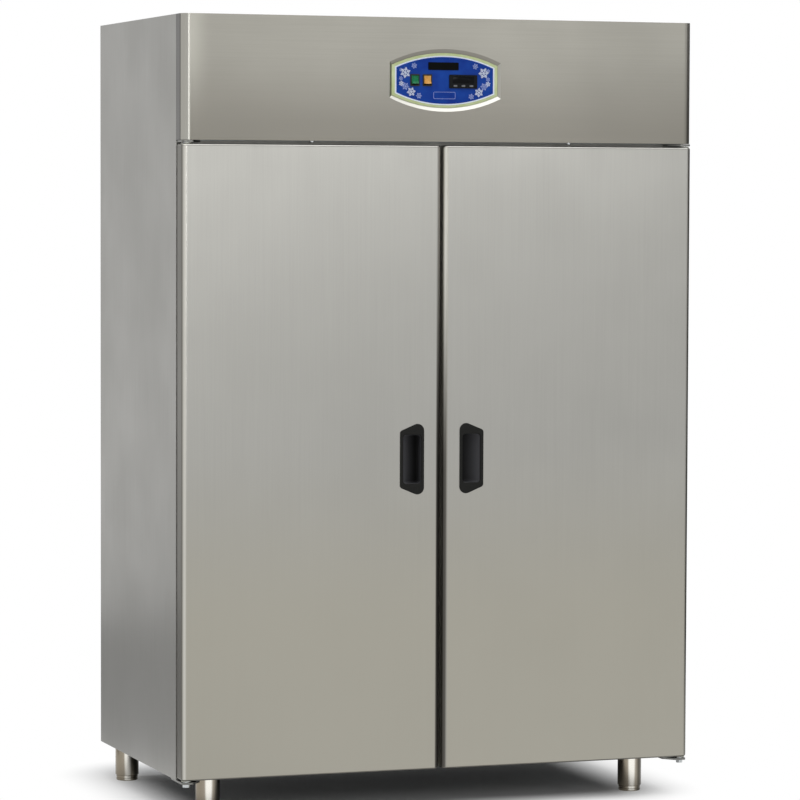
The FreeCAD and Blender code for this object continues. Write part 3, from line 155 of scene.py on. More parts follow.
def brushed_steel(name, deep, pale, grain, across, rough, stretch=0.7, tones=()):
    """Belt-ground stainless: fine lines one way, reflections drawn out across them, soft clouds.
    Each tone is painted light or shade that lies over the last: its colour and the limits it keeps to, each
    with
    Normal for the way a face turns or Object for a place, a direction, and where in it the tone starts and is
    full."""
    material, tree, shader, place = surface(name, {"Metallic": 1.0, "Anisotropic": stretch})
    # the real lines are a tenth of this wide; these are just wide enough to show
    scaled = add(tree, "ShaderNodeMapping", {"Vector": place, "Scale": [1 / (size * mm) for size in grain]})
    lines = add(tree, "ShaderNodeTexNoise", {"Vector": scaled.outputs["Vector"], "Scale": 1.0,
                                             "Detail": 4.0, "Roughness": 0.65})
    clouds = add(tree, "ShaderNodeTexNoise", {"Vector": place, "Scale": 1 / (cloud_size * mm),
                                              "Detail": 2.0})
    both = add(tree, "ShaderNodeMath", {0: lines.outputs["Fac"], 1: clouds.outputs["Fac"]},
               operation="ADD").outputs["Value"]
    colour, gloss = two_tone(tree, both, (0.75, 1.25), deep, pale, rough[::-1])
    bump = add(tree, "ShaderNodeBump", {"Height": lines.outputs["Fac"], "Distance": line_relief * mm})
    way = add(tree, "ShaderNodeVectorTransform", {"Vector": across}, vector_type="VECTOR",
              convert_from="OBJECT", convert_to="WORLD")
    coords = add(tree, "ShaderNodeTexCoord")
    for tinge, *limits in tones:
        share = 1.0
        for source, towards, start, full in limits:
            unit = mm if source == "Object" else 1.0
            amount = add(tree, "ShaderNodeVectorMath", {0: coords.outputs[source], 1: towards},
                         operation="DOT_PRODUCT")
            reach = add(tree, "ShaderNodeMapRange", {"Value": amount.outputs["Value"], "To Max": share,
                                                     "From Min": start * unit, "From Max": full * unit},
                        interpolation_type="SMOOTHSTEP")
            share = reach.outputs["Result"]
        colour = add(tree, "ShaderNodeMix", {0: share, 6: colour, 7: linear(tinge)},
                     data_type="RGBA").outputs[2]
    coat(tree, shader, colour, gloss, bump)
    tree.links.new(way.outputs["Vector"], shader.inputs["Tangent"])
    return material


# Belt-ground stainless: soft grey, fine upright lines, reflections drawn out sideways
upright_steel = brushed_steel("belt-ground stainless, upright grain", "#9A9995", "#9E9D99",
                              (2.5, 2.5, 300), (1, 0.02, 0), (0.3, 0.37))
dress(upright_steel, "left_side_panel", "right_side_panel")
# Mill-finish stainless: unground and dull, as it is kept behind the doors
dull_steel = grained("mill-finish stainless", "#9C9B96", "#A8A7A2", (9, 9, 9), (0.5, 0.6), 0.02,
                     {"Metallic": 1.0})
dress(dull_steel, "face_frame", "centre_mullion")

# Lining: bright-rolled stainless sheet, folded into the cold room and sealed at its corners.
# The ledges that carry the shelves and the hood round the evaporator are of the same sheet.
# Bright-rolled stainless: smoother and paler than the outside, with a faint rolling streak
liner_steel = grained("bright-rolled stainless", "#B4B4B0", "#C2C2BE", (400, 6, 6), (0.24, 0.32), 0.02,
                      {"Metallic": 1.0})
dress(liner_steel, "inner_liner", "shelf_runners", "evaporator_cover")

# Evaporator: aluminium fins pressed on a copper tube that runs to and fro through them.
# It hangs from the ceiling on two end plates, under the hood.
fin_pitch = 3.2
fin_sheet = 0.3
end_plate = 1.5
coil_tube = 4.5
coil_stub = 18.0
bend_steps = 12


def node_tree(name, sizes):
    """An empty geometry tree with one named input for each size; returns it and those inputs."""
    tree = bpy.data.node_groups.new(name, "GeometryNodeTree")
    tree.interface.new_socket("Geometry", in_out="OUTPUT", socket_type="NodeSocketGeometry")
    tree.interface.new_socket("Geometry", in_out="INPUT", socket_type="NodeSocketGeometry")
    for label, kind in sizes.items():
        tree.interface.new_socket(label, in_out="INPUT", socket_type="NodeSocket" + kind)
    return tree, add(tree, "NodeGroupInput").outputs


def seal(tree, geometry, finish):
    """Ends a tree: what was repeated is made real and given its finish."""
    real = add(tree, "GeometryNodeRealizeInstances", {"Geometry": geometry})
    coated = add(tree, "GeometryNodeSetMaterial", {"Geometry": real.outputs["Geometry"], "Material": finish})
    add(tree, "NodeGroupOutput", {"Geometry": coated.outputs["Geometry"]})


def grow(name, tree, sizes, points=(), aims=(), path=False):
    """Runs a tree on points in millimetres, keeps the result as a plain mesh and drops the modifier."""
    mesh = bpy.data.meshes.new(name)
    links = [(i, i + 1) for i in range(len(points) - 1)] if path else []
    mesh.from_pydata([Vector(point) * mm for point in points], links, [])
    if aims:
        aim = mesh.attributes.new("aim", "FLOAT_VECTOR", "POINT")
        for index, vector in enumerate(aims):
            aim.data[index].vector = vector
    piece = bpy.data.objects.new(name, mesh)
    bpy.context.collection.objects.link(piece)
    modifier = piece.modifiers.new(name, "NODES")
    modifier.node_group = tree
    for item in tree.interface.items_tree:
        if item.in_out == "INPUT" and item.name in sizes:
            modifier[item.identifier] = sizes[item.name]
    evaluated = piece.evaluated_get(bpy.context.evaluated_depsgraph_get())
    grown = bpy.data.meshes.new_from_object(evaluated)
    piece.modifiers.remove(modifier)
    piece.data = grown
    bpy.data.meshes.remove(mesh)
    grown.name = name
    return piece


stack_tree, size = node_tree("stack of plates", {"Count": "Int", "First": "Vector", "Step": "Vector",
                                                 "Plate": "Vector", "Finish": "Material"})
row = add(stack_tree, "GeometryNodeMeshLine", {"Count": size["Count"], "Start Location": size["First"],
                                               "Offset": size["Step"]})
plate = add(stack_tree, "GeometryNodeMeshCube", {"Size": size["Plate"]})
plates = add(stack_tree, "GeometryNodeInstanceOnPoints", {"Points": row.outputs["Mesh"],
                                                          "Instance": plate.outputs["Mesh"]})
seal(stack_tree, plates.outputs["Instances"], size["Finish"])

tube_tree, size = node_tree("tube along a path", {"Radius": "Float", "Sides": "Int", "Finish": "Material"})
route = add(tube_tree, "GeometryNodeMeshToCurve", {"Mesh": size["Geometry"]})
circle = add(tube_tree, "GeometryNodeCurvePrimitiveCircle", {"Radius": size["Radius"],
                                                             "Resolution": size["Sides"]})
tube = add(tube_tree, "GeometryNodeCurveToMesh", {"Curve": route.outputs["Curve"], "Fill Caps": True,
                                                  "Profile Curve": circle.outputs["Curve"]})
seal(tube_tree, tube.outputs["Mesh"], size["Finish"])

# Mill-finish aluminium foil: pale, soft shine, slightly uneven from the press
fin_metal = grained("mill-finish aluminium", "#BFC2C4", "#D6D8D9", (8, 8, 8), (0.3, 0.45), 0.03,
                    {"Metallic": 1.0})
# Hard-drawn copper: warm, bright where handled, with brown bloom from brazing
copper = grained("hard-drawn copper", "#8E5433", "#C98A60", (14, 14, 14), (0.25, 0.42), 0.02,
                 {"Metallic": 1.0})


def finned_coil(name, node, low, high, along, rows, plate_top):
    """Fins, end plates and the tube to and fro, for a coil that runs along one axis of its box."""
    low, high = Vector(low), Vector(high)
    length = high[along] - low[along]
    fins = int(length / fin_pitch) - 1
    step = Vector((0, 0, 0))
    step[along] = length / (fins + 1)
    fin = high - low
    fin[along] = fin_sheet
    middle = (low + high) / 2
    first = middle.copy()
    first[along] = low[along] + step[along]
    stack = grow(name + "_fins", stack_tree, {"Count": fins, "First": first * mm, "Step": step * mm,
                                              "Plate": fin * mm, "Finish": fin_metal})
    end = fin.copy()
    end[along] = end_plate
    end.z = plate_top - low.z
    first[along] = low[along] + end_plate / 2
    first.z = (plate_top + low.z) / 2
    step[along] = length - end_plate
    ends = grow(name + "_end_plates", stack_tree, {"Count": 2, "First": first * mm, "Step": step * mm,
                                                   "Plate": end * mm, "Finish": fin_metal})
    pitch = (high.z - low.z) / rows
    path = []
    for index in range(rows):
        z = high.z - pitch * (index + 0.5)
        near, far = low[along], high[along]
        if index in (0, rows - 1):
            near -= coil_stub
        here, there = (near, far) if index % 2 == 0 else (far, near)
        outwards = 1 if index % 2 == 0 else -1
        stops = [(here, z), (there, z)]
        if index < rows - 1:
            for bend_step in range(1, bend_steps):
                angle = math.pi * bend_step / bend_steps
                stops.append((there + outwards * pitch / 2 * math.sin(angle),
                              z - pitch / 2 + pitch / 2 * math.cos(angle)))
        for reach, height in stops:
            point = middle.copy()
            point[along] = reach
            point.z = height
            path.append(point)
    pipe = grow(name + "_tube", tube_tree, {"Radius": coil_tube * mm, "Sides": 12, "Finish": copper},
                path, path=True)
    for piece, slot in ((stack, "aluminium_fin"), (ends, "aluminium_fin"), (pipe, "copper")):
        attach(piece, "cabinet")
        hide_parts(node)
    for polygon in pipe.data.polygons:
        polygon.use_smooth = True


finned_coil("evaporator", "evaporator_coil", (-320, 216.25, 1514), (320, 276.25, 1634),
            along=0, rows=4, plate_top=1636)

# Evaporator fans: black plastic motors in the hood's front, each with a five-blade aluminium fan.
# A guard of welded wire rings is clipped over each opening.
guard_centres = [(-215, 32.6, 1561), (215, 32.6, 1561)]
guard_wire = 1.2
guard_first = 30.0
guard_step = 8.0
guard_rings = 5
towards_front = (0, -1, 0)

# Baked enamel on steel: deep black, wet shine, slight orange peel
enamel = grained("black baked enamel", "#101010", "#1A1A1A", (5, 5, 5), (0.16, 0.26), 0.05,
                 {"Coat Weight": 0.3})
dress(enamel, "evaporator_fan_motors", "compressor", "condenser_fan_motor")
dress(fin_metal, "evaporator_fan_left", "evaporator_fan_right", "condenser_fan")

guard_tree, size = node_tree("wire guard", {"Rings": "Int", "First radius": "Float", "Ring step": "Float",
                                            "Wire radius": "Float", "Finish": "Material"})
stack_of_points = add(guard_tree, "GeometryNodeMeshLine", {"Count": size["Rings"], "Offset": (0, 0, 0)})
index = add(guard_tree, "GeometryNodeInputIndex")
steps = add(guard_tree, "ShaderNodeMath", {0: index.outputs["Index"], 1: size["Ring step"],
                                           2: size["First radius"]}, operation="MULTIPLY_ADD")
unit_ring = add(guard_tree, "GeometryNodeCurvePrimitiveCircle", {"Radius": 1.0, "Resolution": 48})
hoops = add(guard_tree, "GeometryNodeInstanceOnPoints", {"Points": stack_of_points.outputs["Mesh"],
                                                         "Instance": unit_ring.outputs["Curve"],
                                                         "Scale": steps.outputs["Value"]})
loose = add(guard_tree, "GeometryNodeRealizeInstances", {"Geometry": hoops.outputs["Instances"]})
wire = add(guard_tree, "GeometryNodeCurvePrimitiveCircle", {"Radius": size["Wire radius"], "Resolution": 6})
rings = add(guard_tree, "GeometryNodeCurveToMesh", {"Curve": loose.outputs["Geometry"],
                                                    "Profile Curve": wire.outputs["Curve"]})
aim = add(guard_tree, "GeometryNodeInputNamedAttribute", {"Name": "aim"}, data_type="FLOAT_VECTOR")
facing = add(guard_tree, "FunctionNodeAlignRotationToVector", {"Vector": aim.outputs["Attribute"]}, axis="Z")
guards = add(guard_tree, "GeometryNodeInstanceOnPoints", {"Points": size["Geometry"],
                                                          "Instance": rings.outputs["Mesh"],
                                                          "Rotation": facing.outputs["Rotation"]})
seal(guard_tree, guards.outputs["Instances"], size["Finish"])
guard = grow("evaporator_guards", guard_tree,
             {"Rings": guard_rings, "First radius": guard_first * mm, "Ring step": guard_step * mm,
              "Wire radius": guard_wire * mm, "Finish": enamel},
             guard_centres, [towards_front] * len(guard_centres))
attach(guard, "cabinet")

# Lamp: a moulded opal cover over a tube, screwed to the ceiling just behind the doors.
# It lights the shelves from the front.
# Opal acrylic: milk white, satin, light carries a little way into it
opal = grained("opal acrylic", "#E4E3DA", "#F0EFE8", (6, 6, 6), (0.3, 0.42), 0.03,
               {"Subsurface Weight": 0.15, "Subsurface Radius": (0.004, 0.004, 0.004)})
dress(opal, "interior_lamp")

# Shelf uprights: channels rolled from stainless strip, slotted all the way up so that the ledges
# hook in at any height. Four stand on the side walls and two back-to-back pairs on the centre line.
slot_pitch = 25.0
slot_width = 4.0
slot_height = 12.0
strip = 1.5
upright_foot = 222.0
upright_cells = 48
wall_upright_x, wall_upright_rows = 628.0, (-208.75, 226.25)
post_upright_x, post_upright_rows = 12.5, (-272.75, 330.25)


def solid(name, shape, material, crease=35):
    """Keeps a bmesh as an object: doubles merged, faces outwards, smooth but for its edges."""
    bmesh.ops.remove_doubles(shape, verts=shape.verts, dist=0.001 * mm)
    bmesh.ops.recalc_face_normals(shape, faces=shape.faces)
    mesh = bpy.data.meshes.new(name)
    shape.to_mesh(mesh)
    shape.free()
    mesh.shade_smooth()
    mesh.set_sharp_from_angle(angle=math.radians(crease))
    mesh.materials.append(material)
    piece = bpy.data.objects.new(name, mesh)
    bpy.context.collection.objects.link(piece)
    return piece


def slotted_cell(name, face, depth):
    """One pitch of a channel that looks along +X: a web with a slot in it, and two flanges."""
    half = face / 2
    hole = slot_width / 2
    low = (slot_pitch - slot_height) / 2
    high = slot_pitch - low
    shape = bmesh.new()

    def wall(corners):
        shape.faces.new([shape.verts.new(Vector(corner) * mm) for corner in corners])

    for x in (0, -strip):
        wall([(x, -half, 0), (x, half, 0), (x, half, low), (x, -half, low)])
        wall([(x, -half, high), (x, half, high), (x, half, slot_pitch), (x, -half, slot_pitch)])
        for side in (-1, 1):
            wall([(x, side * half, low), (x, side * hole, low), (x, side * hole, high),
                  (x, side * half, high)])
    for side in (-1, 1):
        edge = side * hole
        wall([(0, edge, low), (-strip, edge, low), (-strip, edge, high), (0, edge, high)])
        outer, inner = side * half, side * (half - strip)
        for y in (outer, inner):
            back = 0 if y == outer else -strip
            wall([(back, y, 0), (-depth, y, 0), (-depth, y, slot_pitch), (back, y, slot_pitch)])
        wall([(-depth, outer, 0), (-depth, inner, 0), (-depth, inner, slot_pitch),
              (-depth, outer, slot_pitch)])
    for z in (low, high):
        wall([(0, -hole, z), (0, hole, z), (-strip, hole, z), (-strip, -hole, z)])
    return solid(name, shape, liner_steel)


upright_tree, size = node_tree("slotted upright", {"Cell": "Object", "Pitch": "Vector", "Cells": "Int",
                                                   "Finish": "Material"})
cell = add(upright_tree, "GeometryNodeObjectInfo", {"Object": size["Cell"]})
climb = add(upright_tree, "GeometryNodeMeshLine", {"Count": size["Cells"], "Offset": size["Pitch"]})
column = add(upright_tree, "GeometryNodeInstanceOnPoints", {"Points": climb.outputs["Mesh"],
                                                            "Instance": cell.outputs["Geometry"]})
aim = add(upright_tree, "GeometryNodeInputNamedAttribute", {"Name": "aim"}, data_type="FLOAT_VECTOR")
facing = add(upright_tree, "FunctionNodeAlignRotationToVector", {"Vector": aim.outputs["Attribute"]},
             axis="X", pivot_axis="Z")
columns = add(upright_tree, "GeometryNodeInstanceOnPoints", {"Points": size["Geometry"],
                                                             "Instance": column.outputs["Instances"],
                                                             "Rotation": facing.outputs["Rotation"]})
seal(upright_tree, columns.outputs["Instances"], size["Finish"])

wall_seats = [(side * wall_upright_x, y, upright_foot) for side in (-1, 1) for y in wall_upright_rows]
wall_aims = [right, right, left, left]
post_seats = [(side * post_upright_x, y, upright_foot) for side in (-1, 1) for y in post_upright_rows]
post_aims = [left, left, right, right]
for name, face, depth, seats, aims in (("wall_uprights", 25.0, 12.0, wall_seats, wall_aims),
                                       ("centre_uprights", 12.0, 12.5, post_seats, post_aims)):
    one_cell = slotted_cell(name + "_cell", face, depth)
    uprights = grow(name, upright_tree, {"Cell": one_cell, "Pitch": (0, 0, slot_pitch * mm),
                                         "Cells": upright_cells, "Finish": liner_steel}, seats, aims)
    bpy.data.objects.remove(one_cell)
    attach(uprights, "cabinet")
    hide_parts("shelf_uprights")

# Shelves: steel wire welded into grids and dipped in grey plastic. Each grid has a stout rim,
# three cross bars and wires from front to back, and lies loose on two ledges.
shelf_width = 608.5
shelf_depth = 551.0
shelf_rim = 3.5
shelf_bar = 2.5
shelf_wire = 2.0
shelf_wires = 22
shelf_bars = 3
shelf_corner = 8.0
shelf_middle_x, shelf_middle_y = 320.25, 28.75
ledge_heights = (516.0, 836.0, 1156.0)
shelf_seats = [(side * shelf_middle_x, shelf_middle_y, z + shelf_rim)
               for side in (-1, 1) for z in ledge_heights]

# Plastic-dipped wire: light grey, satin, thickened a little where it ran while wet
dipped = grained("plastic-dipped wire", "#B4B6B6", "#C6C8C8", (10, 10, 10), (0.34, 0.46), 0.05, {})

shelf_tree, size = node_tree("wire shelf", {"Width": "Float", "Depth": "Float", "Wires": "Int", "Bars": "Int",
                                            "Rim radius": "Float", "Bar radius": "Float",
                                            "Wire radius": "Float", "Finish": "Material"})


def wire_row(run, across, count, radius):
    """Parallel wires along one side of the shelf, spread evenly over the other."""
    span = (1, 0, 0) if across == "Width" else (0, 1, 0)
    lie = (1, 0, 0) if run == "Width" else (0, 1, 0)
    gaps = add(shelf_tree, "ShaderNodeMath", {0: size[count], 1: 1.0}, operation="ADD")
    gap = add(shelf_tree, "ShaderNodeMath", {0: size[across], 1: gaps.outputs["Value"]}, operation="DIVIDE")
    edge = add(shelf_tree, "ShaderNodeMath", {0: size[across], 1: -0.5, 2: gap.outputs["Value"]},
               operation="MULTIPLY_ADD")
    first = add(shelf_tree, "ShaderNodeVectorMath", {0: span, "Scale": edge.outputs["Value"]},
                operation="SCALE")
    offset = add(shelf_tree, "ShaderNodeVectorMath", {0: span, "Scale": gap.outputs["Value"]},
                 operation="SCALE")
    line = add(shelf_tree, "GeometryNodeMeshLine", {"Count": size[count], "Offset": offset.outputs["Vector"],
                                                    "Start Location": first.outputs["Vector"]})
    half = add(shelf_tree, "ShaderNodeMath", {0: size[run], 1: 0.5}, operation="MULTIPLY")
    end = add(shelf_tree, "ShaderNodeVectorMath", {0: lie, "Scale": half.outputs["Value"]}, operation="SCALE")
    start = add(shelf_tree, "ShaderNodeVectorMath", {0: end.outputs["Vector"], "Scale": -1.0},
                operation="SCALE")
    one = add(shelf_tree, "GeometryNodeCurvePrimitiveLine", {"Start": start.outputs["Vector"],
                                                             "End": end.outputs["Vector"]})
    many = add(shelf_tree, "GeometryNodeInstanceOnPoints", {"Points": line.outputs["Mesh"],
                                                            "Instance": one.outputs["Curve"]})
    real = add(shelf_tree, "GeometryNodeRealizeInstances", {"Geometry": many.outputs["Instances"]})
    section = add(shelf_tree, "GeometryNodeCurvePrimitiveCircle", {"Radius": size[radius], "Resolution": 8})
    return add(shelf_tree, "GeometryNodeCurveToMesh", {"Curve": real.outputs["Geometry"], "Fill Caps": True,
                                                       "Profile Curve": section.outputs["Curve"]})


wires = wire_row("Depth", "Width", "Wires", "Wire radius")
bars = wire_row("Width", "Depth", "Bars", "Bar radius")
frame_line = add(shelf_tree, "GeometryNodeCurvePrimitiveQuadrilateral", {"Width": size["Width"],
                                                                         "Height": size["Depth"]})
corners = add(shelf_tree, "GeometryNodeFilletCurve", {"Curve": frame_line.outputs["Curve"],
                                                      "Radius": shelf_corner * mm, "Count": 4}, mode="POLY")
rim_section = add(shelf_tree, "GeometryNodeCurvePrimitiveCircle", {"Radius": size["Rim radius"],
                                                                   "Resolution": 10})
rim = add(shelf_tree, "GeometryNodeCurveToMesh", {"Curve": corners.outputs["Curve"],
                                                  "Profile Curve": rim_section.outputs["Curve"]})
grid = add(shelf_tree, "GeometryNodeJoinGeometry")
for part in (wires, bars, rim):
    shelf_tree.links.new(part.outputs["Mesh"], grid.inputs["Geometry"])
shelves = add(shelf_tree, "GeometryNodeInstanceOnPoints", {"Points": size["Geometry"],
                                                           "Instance": grid.outputs["Geometry"]})
seal(shelf_tree, shelves.outputs["Instances"], size["Finish"])
wire_grids = grow("wire_grids", shelf_tree,
                  {"Width": (shelf_width - 2 * shelf_rim) * mm, "Depth": (shelf_depth - 2 * shelf_rim) * mm,
                   "Wires": shelf_wires, "Bars": shelf_bars, "Rim radius": shelf_rim * mm,
                   "Bar radius": shelf_bar * mm, "Wire radius": shelf_wire * mm, "Finish": dipped},
                  shelf_seats)
wire_grids.data.shade_smooth()
wire_grids.data.set_sharp_from_angle(angle=math.radians(50))
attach(wire_grids, "cabinet")
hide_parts("wire_shelves")

# Condensing unit on the deck: a welded compressor pot on rubber grommets, copper lines with a drier,
# a finned condenser with its fan and cowl, and a box for the wiring.
finned_coil("condenser", "condenser_coil", (215, -40, 1733.5), (285, 260, 1973.5),
            along=1, rows=8, plate_top=1973.5)
dress(copper, "refrigerant_lines")
# Moulded rubber and soft vinyl: charcoal, dull, a trace of bloom
rubber = grained("moulded soft vinyl", "#3A3A39", "#474745", (4, 4, 4), (0.55, 0.7), 0.08, {})
dress(rubber, "compressor_grommets")
# ABS from a spark-etched mould: near black, satin, fine even pitting that softens highlights
abs_black = grained("spark-etched black ABS", "#161615", "#1C1C1B", (1.6, 1.6, 1.6), (0.36, 0.48), 0.05,
                    {"Specular IOR Level": 0.35})
dress(abs_black, "electrical_box", "cable_gland")

# Louvres of the rear grille: hoods pressed out over the slots so that warm air leaves and drips don't
# enter. The grille is a zinc-coated sheet screwed between the sides.
louvre_length = 428.0
louvre_rise = 11.0
louvre_out = 7.0
louvre_sheet = 1.0
grille_back = 376.25
grille_middle = 1891.0
louvre_rows = 10
louvre_pitch = 22.0
louvre_from_middle = 250.0
louvre_drop = 4.5


def skin(shape, rings, wrap=False):
    """Joins rings of points, in millimetres, into one closed skin."""
    rows = [[shape.verts.new(Vector(point) * mm) for point in ring] for ring in rings]
    pairs = list(zip(rows, rows[1:]))
    if wrap:
        pairs.append((rows[-1], rows[0]))
    else:
        shape.faces.new(rows[0])
        shape.faces.new(rows[-1])
    for near, far in pairs:
        for i in range(len(near)):
            shape.faces.new((near[i - 1], near[i], far[i], far[i - 1]))


def louvre_section(x, scale):
    """Quarter-round hood at one place along its length, outer line and then inner line."""
    outer = []
    inner = []
    for step in range(7):
        angle = math.pi / 2 * step / 6
        outer.append((x, louvre_out * scale * math.sin(angle), louvre_rise * scale * math.cos(angle)))
        inner.append((x, max(louvre_out * scale - louvre_sheet, 0.1) * math.sin(angle),
                      max(louvre_rise * scale - louvre_sheet, 0.1) * math.cos(angle)))
    return outer + inner[::-1]


louvre_shape = bmesh.new()
half_length = louvre_length / 2
skin(louvre_shape, [louvre_section(x, scale) for x, scale in (
    (-half_length, 0.2), (-half_length + 4, 0.75), (-half_length + 10, 1.0),
    (half_length - 10, 1.0), (half_length - 4, 0.75), (half_length, 0.2))])
one_louvre = solid("one_louvre", louvre_shape, zinc_sheet, 50)

place_tree, size = node_tree("one shape on many seats", {"Shape": "Object", "Finish": "Material"})
shape_info = add(place_tree, "GeometryNodeObjectInfo", {"Object": size["Shape"]})
aim = add(place_tree, "GeometryNodeInputNamedAttribute", {"Name": "aim"}, data_type="FLOAT_VECTOR")
facing = add(place_tree, "FunctionNodeAlignRotationToVector", {"Vector": aim.outputs["Attribute"]}, axis="Z")
copies = add(place_tree, "GeometryNodeInstanceOnPoints", {"Points": size["Geometry"],
                                                          "Instance": shape_info.outputs["Geometry"],
                                                          "Rotation": facing.outputs["Rotation"]})
seal(place_tree, copies.outputs["Instances"], size["Finish"])
lowest_louvre = grille_middle - (louvre_rows - 1) / 2 * louvre_pitch - louvre_drop
louvre_seats = [(side * louvre_from_middle, grille_back, lowest_louvre + row * louvre_pitch)
                for side in (-1, 1) for row in range(louvre_rows)]
louvres = grow("grille_louvres", place_tree, {"Shape": one_louvre, "Finish": zinc_sheet},
               louvre_seats, [up] * len(louvre_seats))
bpy.data.objects.remove(one_louvre)
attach(louvres, "cabinet")

# Header: stainless sheet ground along its length, pressed with a shallow dish for the controls and
# bent round its ends; it hides the condensing unit and is held by two screws from below.
# painted light: paler by the left end, shade towards the lower edge, highlights and shade on the bends and
# returns
header_painted_light = (("#B2B0A7", ("Object", left, 620, 690)), ("#86837B", ("Object", down, -2000, -1732)),
                ("#A8A7A0", ("Normal", left, 0.05, 0.16)), ("#AEACA4", ("Normal", left, 0.32, 0.5)),
                ("#464440", ("Normal", left, 0.93, 0.999)), ("#C5C3BC", ("Normal", right, 0.7, 0.97)),
                ("#B2B1AB", ("Normal", up, 0.2, 0.45)), ("#9A9890", ("Normal", up, 0.9, 0.97)),
                ("#8B8880", ("Normal", down, 0.2, 0.45)))
# Belt-ground stainless: warm grey, fine lines along it, with painted shade towards the bottom, a painted glow
# by the left end and painted highlights and shade along its bends
long_steel = brushed_steel("belt-ground stainless, long grain", "#99978F", "#9D9B93",
                           (300, 2.5, 2.5), (0, 0.02, 1), (0.3, 0.37), tones=header_painted_light)
dress(long_steel, "header_panel")

# Control panel: a lime acrylic rim with a printed plastic plate in it, glued into the dish.
# Both have the dish's barrel outline, straight at the ends and arched above and below.
dish_across = 6.0
dish_middle = 1890.0
bezel_size = (290.6, 140.6, 77.6)
field_size = (254.6, 112.6, 58.6)
foil_lap = 0.3
lap_tuck = 0.03
dish_floor = -387.75
bezel_front = dish_floor - 1.6
plate_front = dish_floor - 1.2
print_lift = 0.15
edge_line_width = 0.22


def barrel(size, y, steps=32):
    """Ring of points round a barrel outline of this width, height and end height."""
    width, height, ends = size
    rise = (height - ends) / 2
    radius = (width * width / 4 + rise * rise) / (2 * rise)
    arch = []
    for step in range(steps + 1):
        x = width * (step / steps - 0.5)
        arch.append((x, ends / 2 + math.sqrt(radius * radius - x * x) - (radius - rise)))
    upper = [(dish_across + x, y, dish_middle + z) for x, z in arch]
    lower = [(dish_across + x, y, dish_middle - z) for x, z in reversed(arch)]
    return upper + lower


def between(part):
    """Barrel size between the field, 0, and the bezel's outside, 1."""
    return [inner + (outer - inner) * part for inner, outer in zip(field_size, bezel_size)]


# Edge-lit acrylic: pale lime, glossy, light gathers along its rim
lime = grained("lime acrylic", "#C6D398", "#D4DFAF", (30, 30, 30), (0.12, 0.2), 0.02,
               {"Subsurface Weight": 0.2, "Subsurface Radius": (0.003, 0.004, 0.002)})
bezel_shape = bmesh.new()
skin(bezel_shape, [barrel(between(part), y) for part, y in (
    (1.0, dish_floor), (1.0, bezel_front + 0.8), (0.95, bezel_front + 0.2), (0.88, bezel_front),
    (0.0, bezel_front), (0.0, dish_floor))], wrap=True)
bezel = solid("bezel_rim", bezel_shape, lime)
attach(bezel, "cabinet")
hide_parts("control_bezel")

# Screen-printed polycarbonate: cobalt ink under a clear satin film, cloudy where the ink lies thin
blue_print = grained("printed polycarbonate", "#173892", "#214DAA", (45, 45, 45), (0.3, 0.4), 0.02,
                     {"Specular IOR Level": 0.06})
dress(blue_print, "control_plate")

# White screen ink: opaque, slightly chalky
white_ink = grained("white screen ink", "#DDE7FA", "#EBF2FF", (3, 3, 3), (0.4, 0.5), 0.02, {})
for name, inner, outer, ink in (("plate_lap", -lap_tuck, foil_lap, blue_print),
                                ("plate_edge_line", foil_lap, foil_lap + edge_line_width, white_ink)):
    band_shape = bmesh.new()
    skin(band_shape, [barrel(between(part), y) for part, y in (
        (inner, bezel_front + 0.5), (inner, bezel_front - print_lift), (outer, bezel_front - print_lift),
        (outer, bezel_front + 0.5))], wrap=True)
    band = solid(name, band_shape, ink)
    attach(band, "cabinet")

# Ice crystals of the plate: six-armed stars, screen-printed at both ends in white and in a thin
# lilac ink. Their width and thickness are shares of the arm's length.
crystal_arm = 1.0
crystal_width = 0.15
crystal_thickness = 0.06

# Lilac screen ink: thinner, so that the blue shows through
lilac_ink = grained("lilac screen ink", "#8A9CDB", "#B2C0ED", (4, 4, 4), (0.4, 0.5), 0.02, {})

crystal_tree, size = node_tree("ice crystals", {"Arm": "Float", "Width": "Float", "Thickness": "Float",
                                                "Finish": "Material"})


def crystal_bar(length, start, lean):
    """A flat bar on an arm: its length and start as shares of the arm, leaning from it in degrees."""
    long = add(crystal_tree, "ShaderNodeMath", {0: size["Arm"], 1: length}, operation="MULTIPLY")
    box = add(crystal_tree, "ShaderNodeCombineXYZ", {"X": size["Width"], "Y": size["Thickness"],
                                                     "Z": long.outputs["Value"]})
    bar = add(crystal_tree, "GeometryNodeMeshCube", {"Size": box.outputs["Vector"]})
    half = add(crystal_tree, "ShaderNodeMath", {0: long.outputs["Value"], 1: 0.5}, operation="MULTIPLY")
    lift = add(crystal_tree, "ShaderNodeCombineXYZ", {"Z": half.outputs["Value"]})
    raised = add(crystal_tree, "GeometryNodeTransform", {"Geometry": bar.outputs["Mesh"],
                                                         "Translation": lift.outputs["Vector"]})
    along = add(crystal_tree, "ShaderNodeMath", {0: size["Arm"], 1: start}, operation="MULTIPLY")
    spot = add(crystal_tree, "ShaderNodeCombineXYZ", {"Z": along.outputs["Value"]})
    return add(crystal_tree, "GeometryNodeTransform", {"Geometry": raised.outputs["Geometry"],
                                                       "Translation": spot.outputs["Vector"],
                                                       "Rotation": (0, math.radians(lean), 0)})


